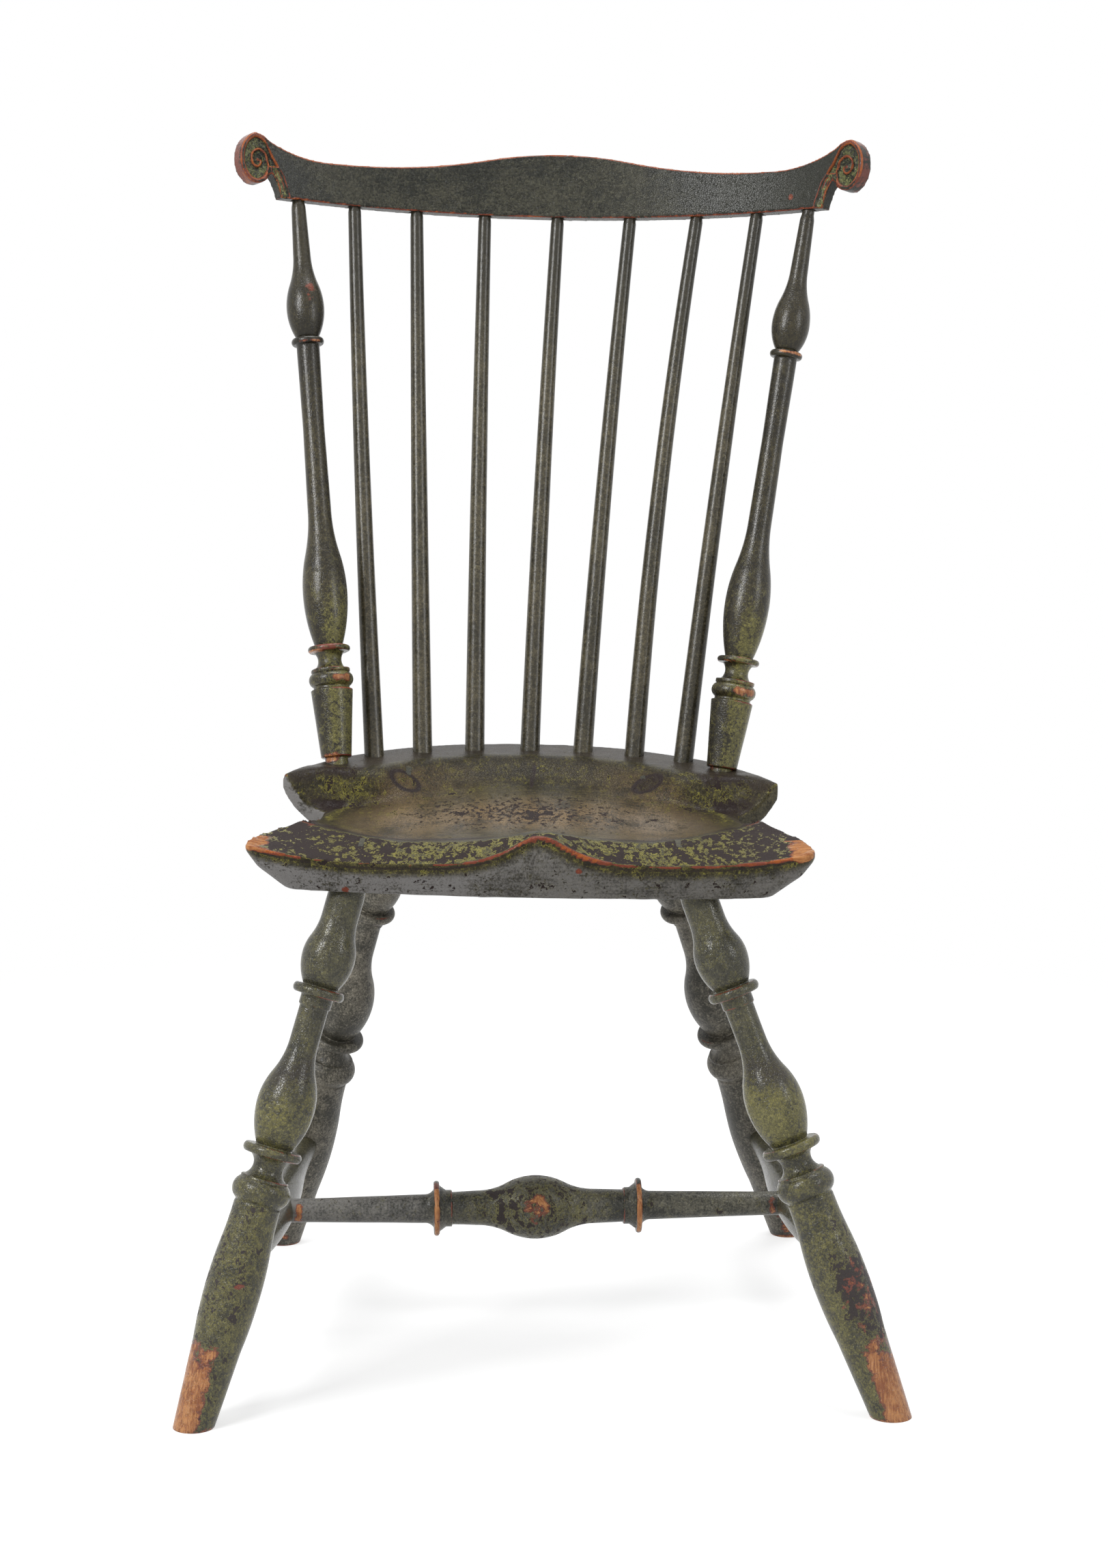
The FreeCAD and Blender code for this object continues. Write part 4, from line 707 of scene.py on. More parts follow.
# a thin raised bead along the front ridge and a firmer fall from the roll into the dish
def sculptSeat(seat):
    mesh = seat.data
    points = corners(mesh)
    normals = readNormals(mesh)
    at = seatPlaces(points)
    gap = np.hypot(at["behind"], at["below"])
    move = seatShape["beadHeight"] * bump(gap, 0, seatShape["beadWidth"]) * (normals[:, 2] > -0.2)
    top = fadeTo(normals[:, 2], 0.5, 0.8) * fadeTo(200 - np.abs(at["x"]), 0, 30)
    move -= seatShape["hollow"] * bump(at["past"], 22, 13) * top * (1 - at["knob"])
    for index, point in enumerate(points):
        move[index] += noise.noise(Vector(point) * 26) * 0.35 + noise.noise(Vector(point) * 90) * 0.12
    setCorners(mesh, points + normals * (move * mm)[:, None])
    inside = fadeTo(-at["gutter"], 10, 24) * fadeTo(at["past"], 6, 20) * fadeTo(178 - np.abs(at["x"]), 0, 20)
    inside *= fadeTo(normals[:, 2], 0.5, 0.8)
    side = np.abs(at["x"])
    ends = fadeTo(side, 154, 166) * fadeTo(at["y"], 10, 35) + 0.5 * fadeTo(side, 186, 204) * (at["y"] < -70)
    for name, share in (("saddle", inside), ("ends", ends)):
        zone = seat.vertex_groups.new(name=name)
        for index in np.flatnonzero(share > 0.02):
            zone.add([int(index)], float(share[index]), "REPLACE")
        smooth = seat.modifiers.new("smooth", "SMOOTH")
        smooth.factor = 0.5
        smooth.iterations = seatShape[name + "Smooth"]
        smooth.vertex_group = name
    applyModifiers(seat)
    seat.vertex_groups.clear()


def markSeat(seat):
    mesh = seat.data
    points = corners(mesh)
    normals = readNormals(mesh)
    at = seatPlaces(points)
    x, y, side = at["x"], at["y"], np.abs(at["x"])
    top = fadeTo(normals[:, 2], 0.35, 0.7)
    gap = np.hypot(at["behind"], at["below"])
    arris = fadeTo(findArrises(mesh, 1), 70, 260)
    ridge = 1 - fadeTo(gap, 1.8, 3.6)
    rear = fadeTo(y, -75, -35)
    wing = top * (1 - fadeTo(at["past"], -6, 3)) * fadeTo(at["behind"], 1, 5)
    # painted shade: a dark band just behind the roll's crest, where the dish falls away from the roll
    line = top * bump(at["past"], 19, 13) * (1 - at["knob"]) * fadeTo(195 - side, 0, 25)
    dish = top * fadeTo(at["past"], 6, 16) * (1 - rear * fadeTo(at["gutter"], -20, -6))
    wall = top * rear * fadeTo(at["gutter"], -66, -34) * (1 - fadeTo(at["gutter"], -6, 2))
    deck = top * rear * fadeTo(at["gutter"], 0, 5)
    front = (1 - top) * fadeTo(-y, 120, 150)
    under = front * bump(at["below"], 5, 5)
    middle = np.exp(-((x - 8) / 84) ** 2 - ((y + 4) / 52) ** 2)
    chipped = np.exp(-((x + 10) / 92) ** 2 - ((y - 12) / 62) ** 2)
    corner = np.exp(-((side - 150) / 26) ** 2 - ((y - 62) / 24) ** 2)
    # painted sheen on the sitting hollows of the dish, partly dust
    sheenPools = np.exp(-((side - 96) / 34) ** 2 - ((y + 8) / 38) ** 2)
    tips = fadeTo(side, 190, 206) * (y < -105) * fadeTo(normals[:, 2], -0.5, 0.0)
    pommel = fadeTo(at["knob"], 0.8, 0.95) * bump(gap, 2, 5)
    waist = bump(side, 173, 9) * bump(at["past"], 6, 14) * top
    check = bump(x - 1.8 - 1.6 * np.sin(y / 17), 0, 0.9) * fadeTo(y, 26, 40) * fadeTo(140 - y, 0, 14)
    tenonGap = np.minimum(*[np.hypot((x - spot) / 1.25, y - back) for spot, back in seatShape["tenons"]])
    tenons = 1 - fadeTo(tenonGap, 5, 9)
    ears = top * fadeTo(side, 140, 165) * fadeTo(y, -10, 20) * (1 - deck)
    tippedRidge = 0.84 + 0.2 * fadeTo(side, 150, 195)
    # the front face greyed below the ridge, more towards the left: partly dust, partly painted light
    pale = front * fadeTo(at["below"], 6, 15) * (0.75 + 0.9 * fadeTo(-x, -20, 120))
    facet = fadeTo(normals[:, 0] * np.sign(x), 0.02, 0.2) * fadeTo(side, 158, 166) * fadeTo(y, 20, 40)
    facet *= 1 - fadeTo(normals[:, 2], 0.25, 0.5)
    rimmed = arris * fadeTo(side, 158, 166) * fadeTo(y, 20, 40) * (1 - fadeTo(y, 62, 75))
    setMark(mesh, "tint", (wing * 0.68 + wall * 0.36 + dish * 0.02 + under * 0.5 + ears * 0.5 + corner * 0.5
                           - middle * 0.3 + rimmed) * (1 - facet * 0.8))
    setMark(mesh, "flake", wing * (0.61 + 0.12 * fadeTo(side, 90, 170)) + dish * (0.1 + chipped * 0.5)
            - wall * 0.05 + front * 0.24 + deck * 0.12 + corner * 0.5 + tenons * np.where(x < 0, 0.2, 0.4)
            - facet * 0.5)
    # dust and painted sheen: painted sheen on the hollows and the deck, painted light on the front face and
    # on the left ear's outer facet, partly dust
    setMark(mesh, "dust_and_sheen", sheenPools * dish * np.where(x < 0, 0.15, 0.45) + deck * 0.1 + pale
            + facet * np.where(x < 0, 1.6, 0.15))
    setMark(mesh, "warm", dish * (middle + 0.42 * bump(side, 108, 42)))
    # darker marks: painted shade behind the roll, under the front bead and on the steep back wall, besides a
    # crack, the plug outlines and darker paint on the corners, wings and deck
    setMark(mesh, "dark", line * 0.7 + front * bump(at["below"], 3.4, 2.0) * 0.5 + wall * 0.34
            + check * 0.6 * top + tenons * np.where(x < 0, 0.0, 0.2) * top
            + bump(tenonGap, 9, 1.5) * 0.36 * top + corner * 0.2 + wing * 0.1 + deck * 0.4)
    chip = (bump(np.hypot(x + 139, at["z"] + 45), 0, 5) + bump(np.hypot(x - 38, at["z"] + 22), 0, 3)) * front
    setMark(mesh, "edge", np.maximum.reduce([arris * 0.45, ridge * tippedRidge, waist * 0.75, pommel * 0.6,
                                             chip * 0.7]))
    setMark(mesh, "bare", np.maximum(tips * 0.72, pommel * 0.15))


seat = makeSeat()
sculptSeat(seat)
markSeat(seat)
seat.data.materials.append(seatPaint)
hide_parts("seat")
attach(seat, "root")
print("seat: %d faces" % len(seat.data.polygons))

crestPiece = {
    "voxel": 1.4 * mm,
    "smoothSteps": 1,
    "plugGrowth": 0.2 * mm,
    "plugFoot": 7.0,
    "place": (8.2, 256.14, 875.5),
    "turn": -4.4,
    "roll": 0.45,
    "rake": -16.0,
    "bend": 448.3,
    "volutes": {-1: (265.7, 2.3), 1: (262.6, -0.3)},
    "rimWidth": 3.2,
    "fieldDepth": 2.9,
    "centre": (-4.4, 31.5),
    "spiral": ((0, 2.0), (90, 5.5), (180, 5.5), (270, 9.0),
               (360, 8.2), (450, 17.5), (540, 16.0), (630, 22.0)),
    "innerLine": ((4.0, 229.7), (20.5, 235.9), (34.7, 246.3), (47.5, 253.6), (56.0, 259.5)),
    "outerLine": ((1.2, 239.6), (12.8, 242.5), (26.0, 248.0)),
    "stepHeight": 27.5,
    "fluteDepth": 1.7,
    "bevelDepth": 2.2,
}


crestTurns = [Matrix.Rotation(math.radians(crestPiece[name]), 4, axis)
              for name, axis in (("turn", "Z"), ("roll", "Y"), ("rake", "X"))]
crestFrame = Matrix.Translation(crestPiece["place"]) @ crestTurns[0] @ crestTurns[1] @ crestTurns[2]
crestUp = crestFrame.to_3x3() @ Vector((0, 0, 1))


# a place on the board: run along the bend, height above its foot, and depth through it
def crestPlaces(points):
    size = crestPiece
    back = np.array(crestFrame.inverted())
    local = (points / mm) @ back[:3, :3].T + back[:3, 3]
    run = size["bend"] * np.arctan2(local[:, 0], local[:, 1] + size["bend"])
    out = np.hypot(local[:, 0], local[:, 1] + size["bend"]) - size["bend"]
    turn = run / size["bend"]
    through = np.stack([np.sin(turn), np.cos(turn), np.zeros(len(turn))], 1)
    through = through @ np.array(crestFrame)[:3, :3].T
    return run, local[:, 2], out, through


def refineEnds(crest):
    run = crestPlaces(corners(crest.data))[0]
    makeActive(crest)
    mesh = crest.data
    mesh.polygons.foreach_set("select", np.zeros(len(mesh.polygons), bool))
    mesh.edges.foreach_set("select", np.zeros(len(mesh.edges), bool))
    mesh.vertices.foreach_set("select", np.zeros(len(mesh.vertices), bool))
    for face in mesh.polygons:
        face.select = bool(min(abs(run[index]) for index in face.vertices) > 224)
    bpy.ops.object.mode_set(mode="EDIT")
    bpy.ops.mesh.select_mode(type="FACE")
    bpy.ops.mesh.subdivide(number_cuts=1, smoothness=0)
    bpy.ops.mesh.select_all(action="DESELECT")
    bpy.ops.object.mode_set(mode="OBJECT")


# the scrolled ends: a rim round a sunk field, a spiral, and a flute running down the neck
def carveVolutes(crest):
    size = crestPiece
    mesh = crest.data
    points = corners(mesh)
    run, height, out, through = crestPlaces(points)
    depth = np.zeros(len(points))
    marks = {"edge": np.zeros(len(points)), "tint": np.zeros(len(points))}
    inner, outer = np.array(size["innerLine"]).T, np.array(size["outerLine"]).T
    angles, radii = np.array(size["spiral"]).T
    for side, (centre, drop) in size["volutes"].items():
        along = run * side - centre + 264
        level = height + drop
        near = along > 218
        walls = np.flatnonzero(near & (np.abs(out) < 5.6))
        tree = kdtree.KDTree(len(walls))
        for index in walls:
            tree.insert((along[index], level[index], 0), int(index))
        tree.balance()
        marks["edge"][walls] = (0.36 if side > 0 else 0.56) * fadeTo(along[walls], 250, 264)
        front = np.flatnonzero(near & (out < -4.5))
        for index in front:
            a, h = along[index], level[index]
            rim = tree.find((a, h, 0))[2]
            innerAt = np.interp(h, *inner)
            outerAt = np.interp(h, *outer)
            dx, dy = a - 264 - size["centre"][0], h - size["centre"][1]
            reach = math.hypot(dx, dy)
            angle = math.degrees(math.atan2(-dy, -dx)) % 360
            gaps = [abs(reach - np.interp(angle + 360 * lap, angles, radii)) for lap in (0, 1)
                    if angle + 360 * lap <= 630]
            ridge = math.exp(-(min(gaps) / 1.15) ** 2)
            boss = max(1 - reach / 5.0, 0)
            inside = a > innerAt
            if inside and (h > size["stepHeight"] or a > 264 - 13.5):
                sunk = min(max((rim - size["rimWidth"]) / 1.2, 0), 1) * min((a - innerAt) / 1.0, 1)
                raised = max(ridge * 0.95, boss * 0.6)
                depth[index] = size["fieldDepth"] * sunk * (1 - raised)
                marks["tint"][index] = 0.75 * sunk * (1 - raised)
                marks["edge"][index] = max(1 - abs(rim - size["rimWidth"] + 0.3) / 1.3,
                                           ridge * 0.55 * sunk, 1 - abs(a - innerAt) / 1.3, 0)
                if a > 250:
                    worn = marks["edge"][index] * 0.55
                    marks["edge"][index] = max(0.85 - abs(rim - 2.8) / 1.1, 0.36 * (rim < 2.4), worn)
            elif inside:
                share = min((a - innerAt) / max(outerAt - innerAt, 1), 1)
                soft = min(max((size["stepHeight"] - h) / 4, 0.25), 1)
                depth[index] = size["fluteDepth"] * math.sin(math.pi * share ** 0.8) * soft
                beyond = a - outerAt
                if beyond > 0:
                    depth[index] = size["bevelDepth"] * min(beyond / 6, 1)
                marks["tint"][index] = 1.0 * math.sin(math.pi * share)
                if beyond > 0:
                    marks["tint"][index] = 0.35
                marks["edge"][index] = max(0.4 - abs(a - innerAt) / 3, 0.3 - abs(beyond) / 3, 0)
            else:
                marks["edge"][index] = max(0.5 - (innerAt - a) / 2.2, 0)
    setCorners(mesh, points + through * (depth * mm)[:, None])
    return marks


def outlineGap(run, height, out, facing):
    level = facing @ np.array(crestUp)
    socket = (np.abs(run) < 236) & ((np.abs(level) < 0.6) | ((level < 0) & (height > 4)))
    walls = np.flatnonzero((np.abs(out) < 5.4) & ~socket)
    tree = kdtree.KDTree(len(walls))
    for index in walls:
        tree.insert((run[index], height[index], 0), int(index))
    tree.balance()
    gap = np.full(len(run), 9.0)
    for index in np.flatnonzero(np.abs(out) >= 5.4):
        gap[index] = tree.find((run[index], height[index], 0))[2]
    return gap


def markCrest(crest, marks):
    mesh = crest.data
    run, height, out, through = crestPlaces(corners(mesh))
    rim = 1 - fadeTo(outlineGap(run, height, out, readNormals(mesh)), 0.4, 1.9)
    upper = fadeTo(height, 20, 26)
    line = rim * (0.5 + 0.3 * upper) * (out < 0)
    arris = fadeTo(findArrises(mesh, 1), 110, 420)
    front = fadeTo(-out, 3.5, 5.5)
    spot = np.exp(-((run - 206) ** 2 + (height - 11) ** 2) / 9)
    setMark(mesh, "edge", np.maximum.reduce([arris * (0.4 + 0.3 * front), line, marks["edge"],
                                             spot * front * 0.58]))
    # painted shade: the board darker towards its right end, outside the carved fields
    setMark(mesh, "dark", 0.45 * fadeTo(run, 10, 150) * (marks["tint"] == 0))
    setMark(mesh, "tint", marks["tint"])


def makeCrest():
    crest = copyNode("crest_rail", "crest_board")
    foot = crestFrame @ Vector((0, 0, crestPiece["plugFoot"])) * mm
    joinInto(crest, [makePlug(node, crestPiece["plugGrowth"], foot, crestUp)
                     for node in postNames + spindleNames + pegNames])
    remeshPiece(crest, crestPiece["voxel"], crestPiece["smoothSteps"])
    refineEnds(crest)
    markCrest(crest, carveVolutes(crest))
    crest.data.shade_smooth()
    return crest


crest = makeCrest()
crest.data.materials.append(crestPaint)
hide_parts("crest_rail")
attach(crest, "root")
print("crest: %d faces" % len(crest.data.polygons))

# turned pieces: a profile of radius and height in millimetres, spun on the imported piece's axis
spinSteps = 72
fineStep = 0.55
longStep = 1.7


def arcTo(start, end, radius, side):
    (u0, v0), (u1, v1) = start, end
    du, dv = u1 - u0, v1 - v0
    chord = math.hypot(du, dv)
    rise = math.sqrt(max(radius * radius - chord * chord / 4, 0.0)) * side
    cu, cv = (u0 + u1) / 2 - dv / chord * rise, (v0 + v1) / 2 + du / chord * rise
    first, last = math.atan2(v0 - cv, u0 - cu), math.atan2(v1 - cv, u1 - cu)
    if side > 0 and last < first:
        last += 2 * math.pi
    if side < 0 and last > first:
        last -= 2 * math.pi
    count = max(int(radius * abs(last - first) / fineStep), 2)
    turns = [first + (last - first) * step / count for step in range(1, count + 1)]
    return [(cu + radius * math.cos(turn), cv + radius * math.sin(turn)) for turn in turns]


def arcRadius(halfChord, sagitta):
    return (halfChord ** 2 + sagitta ** 2) / (2 * sagitta)


def disc(low, high, radius, roundness):
    edge = radius - roundness
    return [(edge, low), (edge, high, arcRadius((high - low) / 2, roundness), 1)]


def bead(low, high, base, radius):
    return [(base, high, arcRadius((high - low) / 2, radius - base), 1)]


def cove(low, high, mouth, radius):
    return [(mouth, high, arcRadius((high - low) / 2, mouth - radius), -1)]


def belly(footRadius, footHeight, radius, height):
    rise, swell = height - footHeight, radius - footRadius
    return [(radius, height, (rise ** 2 + swell ** 2) / (2 * swell), 1)]


# two arcs that leave and arrive upright; from a belly down to a neck, or up from one
def sway(start, end, share):
    fall, run = end[0] - start[0], end[1] - start[1]
    reach = (fall ** 2 + run ** 2) / (2 * abs(fall))
    side = 1 if fall < 0 else -1
    middle = (start[0] + fall * share, start[1] + run * share)
    return [(*middle, reach * share, side), (*end, reach * (1 - share), -side)]


def discEnds(size):
    return size[1] - size[2] / 2, size[1] + size[2] / 2


# fillet, cove, disc and vase: the run that legs and back posts share above their bead
def vaseSteps(size, beadHigh, share):
    filletTop = beadHigh + size["fillet"][1]
    low, high = discEnds(size["disc"])
    steps = [(size["fillet"][0], beadHigh), (size["fillet"][0], filletTop), (size["cove"][0], filletTop)]
    steps += cove(filletTop, low, *size["cove"]) + disc(low, high, size["disc"][0], size["disc"][3])
    steps += [(size["vaseFoot"], high)] + belly(size["vaseFoot"], high, *size["vase"])
    return steps + sway(size["vase"], size["neck"], share)


# collar, ring and ball
def ballSteps(size, ball, top, share):
    low, high = discEnds(size["ring"])
    steps = [size["collar"], (size["collar"][0], low)] + disc(low, high, size["ring"][0], size["ring"][3])
    return steps + [(size["ballFoot"], high)] + belly(size["ballFoot"], high, *ball) + sway(ball, top, share)


# the profile as a fine line: close points where it turns, wide ones along plain stretches
def traceProfile(steps, softenSteps):
    line = [steps[0][:2]]
    for step in steps[1:]:
        if len(step) == 4:
            line += arcTo(line[-1], step[:2], step[2], step[3])
        else:
            (u0, v0), (u1, v1) = line[-1], step
            count = max(int(math.hypot(u1 - u0, v1 - v0) / fineStep), 1)
            line += [(u0 + (u1 - u0) * part / count, v0 + (v1 - v0) * part / count)
                     for part in range(1, count + 1)]
    line = np.array(line)
    for turn in range(softenSteps):
        line[1:-1] = (line[:-2] + 2 * line[1:-1] + line[2:]) / 4
    directions = np.diff(line, axis=0)
    bends = np.abs(np.diff(np.unwrap(np.arctan2(directions[:, 1], directions[:, 0]))))
    busy = np.convolve(np.r_[0, bends, 0], np.ones(7), "same") > 0.22
    kept, travelled = [0], 0.0
    for index in range(1, len(line) - 1):
        travelled += np.hypot(*(line[index] - line[index - 1]))
        if travelled >= (fineStep * 0.9 if busy[index] else longStep):
            kept.append(index)
            travelled = 0.0
    return line[kept + [len(line) - 1]]


def spinProfile(name, line, place):
    mesh = bpy.data.meshes.new(name)
    mesh.from_pydata([(u, 0, v) for u, v in line], [(i, i + 1) for i in range(len(line) - 1)], [])
    piece = bpy.data.objects.new(name, mesh)
    bpy.context.collection.objects.link(piece)
    editAll(piece, (bpy.ops.mesh.spin, {"steps": spinSteps, "angle": 2 * math.pi, "center": (0, 0, 0),
                                 "axis": (0, 0, 1)}), (bpy.ops.mesh.remove_doubles, {"threshold": 0.02}),
            (bpy.ops.mesh.normals_make_consistent, {"inside": False}))
    mesh.transform(place)
    mesh.shade_smooth()
    return piece


# places round the axis: heights along it, arms out from it and how far out
def roundAxis(mesh, point, along):
    offsets = corners(mesh) - point
    heights = offsets @ along
    arms = offsets - heights[:, None] * along
    return heights, arms, np.linalg.norm(arms, axis=1)


def facing(radial, x, y, low, high):
    return fadeTo(radial @ np.array((x, y, 0)), low, high)


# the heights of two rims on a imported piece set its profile's place and stretch
def measureRims(node, rims):
    point, along, low, high = findAxis(node)
    heights, arms, radii = roundAxis(nodes[node].data, point, along)
    found = []
    for share, reach in rims:
        near = np.abs(heights - (low + (high - low) * share)) < reach * (high - low)
        top = radii[near].max()
        found.append(heights[near & (radii > top - 0.05 * mm)].mean())
    return point, along, found


def placeTurning(point, along, heights, found):
    scale = (found[1] - found[0]) / (heights[1] - heights[0])
    start = Vector(point + along * (found[0] - heights[0] * scale))
    turn = Vector(along).to_track_quat("Z", "Y").to_matrix().to_4x4()
    return Matrix.Translation(start) @ turn @ Matrix.Diagonal((mm, mm, scale, 1))


# worn rims: shallow chips and a slightly uneven surface, moved along the normals
def roughen(piece, wobble, chip, seed):
    mesh = piece.data
    points = corners(mesh)
    normals = readNormals(mesh)
    arris = fadeTo(findArrises(mesh, 1), 110, 420)
    shift = Vector((seed * 0.37, seed * 0.11, seed * 0.23))
    move = np.empty(len(points))
    for index, point in enumerate(points):
        spot = Vector(point) + shift
        move[index] = noise.noise(spot * 38) * wobble
        if arris[index] > 0.1:
            move[index] -= max(noise.noise(spot * 120) - 0.12, 0) * 2.4 * chip * arris[index]
    setCorners(mesh, points + normals * move[:, None])


legTurning = {
    "foot": 14.5, "taper": (19.1, 66), "swell": (21.7, 111), "shank": (18.2, 176),
    "grooveDepth": 0.9,
    "bead": (22.7, 187, 17.6), "fillet": (18.7, 1.8), "cove": (16.5, 11.8),
    "disc": (23.0, 218, 7.2, 1.7), "vaseFoot": 13.8, "vase": (22.5, 254.5),
    "neck": (11.3, 305), "collar": (12.5, 333), "ring": (20.1, 345, 7.2, 1.7),
    "ballFoot": 13.2, "ball": (20.5, 372.5), "top": (14.2, 403),
    "tenonFrom": 420, "tenonEnd": (9.3, 480),
    "rims": ((0.463, 0.03), (0.735, 0.03)),
}


def legProfile(size):
    radius, height, length = size["bead"]
    beadLow, beadHigh = height - length / 2, height + length / 2
    shank = size["shank"]
    steps = [(0.01, -14), (size["foot"], -14), size["taper"]]
    steps += belly(*size["taper"], *size["swell"]) + sway(size["swell"], shank, 0.5)
    steps += [(shank[0] - size["grooveDepth"], (shank[1] + beadLow) / 2), (shank[0], beadLow)]
    steps += bead(beadLow, beadHigh, shank[0], radius) + vaseSteps(size, beadHigh, 0.48)
    steps += [(size["neck"][0], size["collar"][1])]
    steps += ballSteps(size, size["ball"], size["top"], 0.43)
    steps += [(size["top"][0], size["tenonFrom"]), size["tenonEnd"], (0.01, size["tenonEnd"][1])]
    return steps


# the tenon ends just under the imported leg's own end, which lies in the seat's surface
def trimTenon(piece, node, point, along):
    packed = nodes[node].data
    tree = BVHTree.FromPolygons([v.co for v in packed.vertices], [p.vertices for p in packed.polygons])
    points = corners(piece.data)
    heights = (points - point) @ along
    limit = heights.max() - 75 * mm
    for index in np.flatnonzero(heights > limit):
        centre = point + along * heights[index]
        inner = Vector(centre + (points[index] - centre) * 0.97)
        hit = tree.ray_cast(inner + Vector(along) * 0.09, -Vector(along))[0]
        if hit is not None:
            roof = (np.array(hit) - point) @ along - 3.0 * mm
            if heights[index] > roof:
                points[index] += along * (roof - heights[index])
    setCorners(piece.data, points)


def makeLeg(node):
    point, along, found = measureRims(node, legTurning["rims"])
    place = placeTurning(point, along, (legTurning["disc"][1], legTurning["ring"][1]), found)
    leg = spinProfile(node + "_turned", traceProfile(legProfile(legTurning), 2), place)
    trimTenon(leg, node, point, along)
    roughen(leg, 0.16 * mm, 0.5 * mm, len(node) + found[0] * 100)
    cutPlane(leg, (0, 0, 0), (0, 0, 1), keepBelow=False)
    leg.data.shade_smooth()
    return leg, point, along


def markLeg(leg, node, point, along):
    mesh = leg.data
    side = -1 if node.endswith("left") else 1
    front = "front" in node
    heights = corners(mesh)[:, 2] / mm
    arms, radii = roundAxis(mesh, point, along)[1:]
    radial = arms / np.maximum(radii, 1e-9)[:, None]
    outward = radial @ np.array((0.72 * side, -0.69, 0))
    low = 1 - fadeTo(heights, 150, 215)
    edge = fadeTo(findArrises(mesh, 2), 60, 300) * (0.62 if front else 0.35)
    bare = (1 - fadeTo(heights, 30, 92)) * fadeTo(outward, 0.15, 0.9) * (0.84 if front else 0.4)
    bare = np.maximum(bare, (1 - fadeTo(heights, 0, 3.5)) * 0.55)
    flake = low * (0.42 if front else 0.1) * fadeTo(outward, -0.8, 0.5)
    dark = bump(heights, 266, 20) * fadeTo(-radial[:, 1], 0, 0.6) * 0.42
    if node == "leg_front_right":
        damage = bump(heights, 99, 41) * fadeTo(outward, 0.2, 0.8)
        chip = bump(heights, 240, 7) * facing(radial, 0.5, -0.87, 0.93, 1)
        bare = np.maximum.reduce([bare, damage * 0.33, chip * 0.6])
        flake = low * 0.14 + damage * 0.64
        dark += damage * 0.42
    if node == "leg_front_left":
        edge = np.maximum(edge, bump(heights, 110, 3) * facing(radial, 0.2, -0.98, 0.93, 1))
    else:
        toChip = (0.6, -0.8) if front else (0.85 * side, -0.5)
        bare = np.maximum(bare, bump(heights, 180, 3.5) * facing(radial, *toChip, 0.9, 0.99) * 0.68)
    vase = bump(heights, 232, 26) * (1.0 if side > 0 else 0.5)
    setMark(mesh, "edge", edge)
    setMark(mesh, "bare", bare)
    setMark(mesh, "flake", flake)
    setMark(mesh, "tint", (0.25 + vase + 0.35 * low) if front else np.full(len(heights), 0.05))
    if front:
        setMark(mesh, "dark", dark)


for node in legNames:
    leg, point, along = makeLeg(node)
    markLeg(leg, node, point, along)
    hangPiece(leg, node, turnedPaint if "front" in node else rearPaint)
print("legs turned")

postTurning = {
    "tenon": (9.4, -36), "shoulder": 4.6, "plugFoot": 12.4, "plug": (17.2, 60),
    "grooveDepth": 2.2, "grooveWidth": 2.4, "bead": (14.6, 18.2, 11.6), "fillet": (15.9, 3.2),
    "cove": (12.6, 9.6), "disc": (17.3, 93.3, 4.8, 1.2), "vaseFoot": 11.2, "vase": (18.3, 140),
    "neck": (9.7, 208), "shaft": (8.9, 275), "collar": (9.5, 342), "ring": (13.5, 348.5, 5.6, 1.4),
    "ballFoot": 8.9, "ball": (15.6, 376.5), "tip": (7.3, 422), "crest": (5.9, 462),
    "crestTenon": (5.0, 466), "end": 484,
    "rims": ((0.239, 0.012), (0.72, 0.02)),
    "rightBallDrop": 3.0,
}


def postProfile(size, ballDrop):
    plug = size["plug"]
    beadLow = plug[1] + size["grooveWidth"]
    beadHigh = beadLow + size["bead"][2]
    ball = (size["ball"][0], size["ball"][1] - ballDrop)
    tip = (size["tip"][0], size["tip"][1] - ballDrop)
    steps = [(0.01, size["tenon"][1]), size["tenon"], (size["tenon"][0], size["shoulder"]),
             (size["plugFoot"], size["shoulder"]), plug,
             (plug[0] - size["grooveDepth"], plug[1]), (size["bead"][0], beadLow)]
    steps += bead(beadLow, beadHigh, *size["bead"][:2]) + vaseSteps(size, beadHigh, 0.46)
    steps += [size["shaft"]] + ballSteps(size, ball, tip, 0.44)
    steps += [size["crest"], size["crestTenon"], (size["crestTenon"][0], size["end"]),
              (0.01, size["end"])]
    return steps


def makePost(node):
    point, along, found = measureRims(node, postTurning["rims"])
    place = placeTurning(point, along, (postTurning["disc"][1], postTurning["ring"][1]), found)
    left = node.endswith("left")
    profile = postProfile(postTurning, 0 if left else postTurning["rightBallDrop"])
    post = spinProfile(node + "_turned", traceProfile(profile, 1), place)
    roughen(post, 0.1 * mm, 0.45 * mm, found[1] * 50)
    markPost(post.data, point, along, found[0], left)
    return post


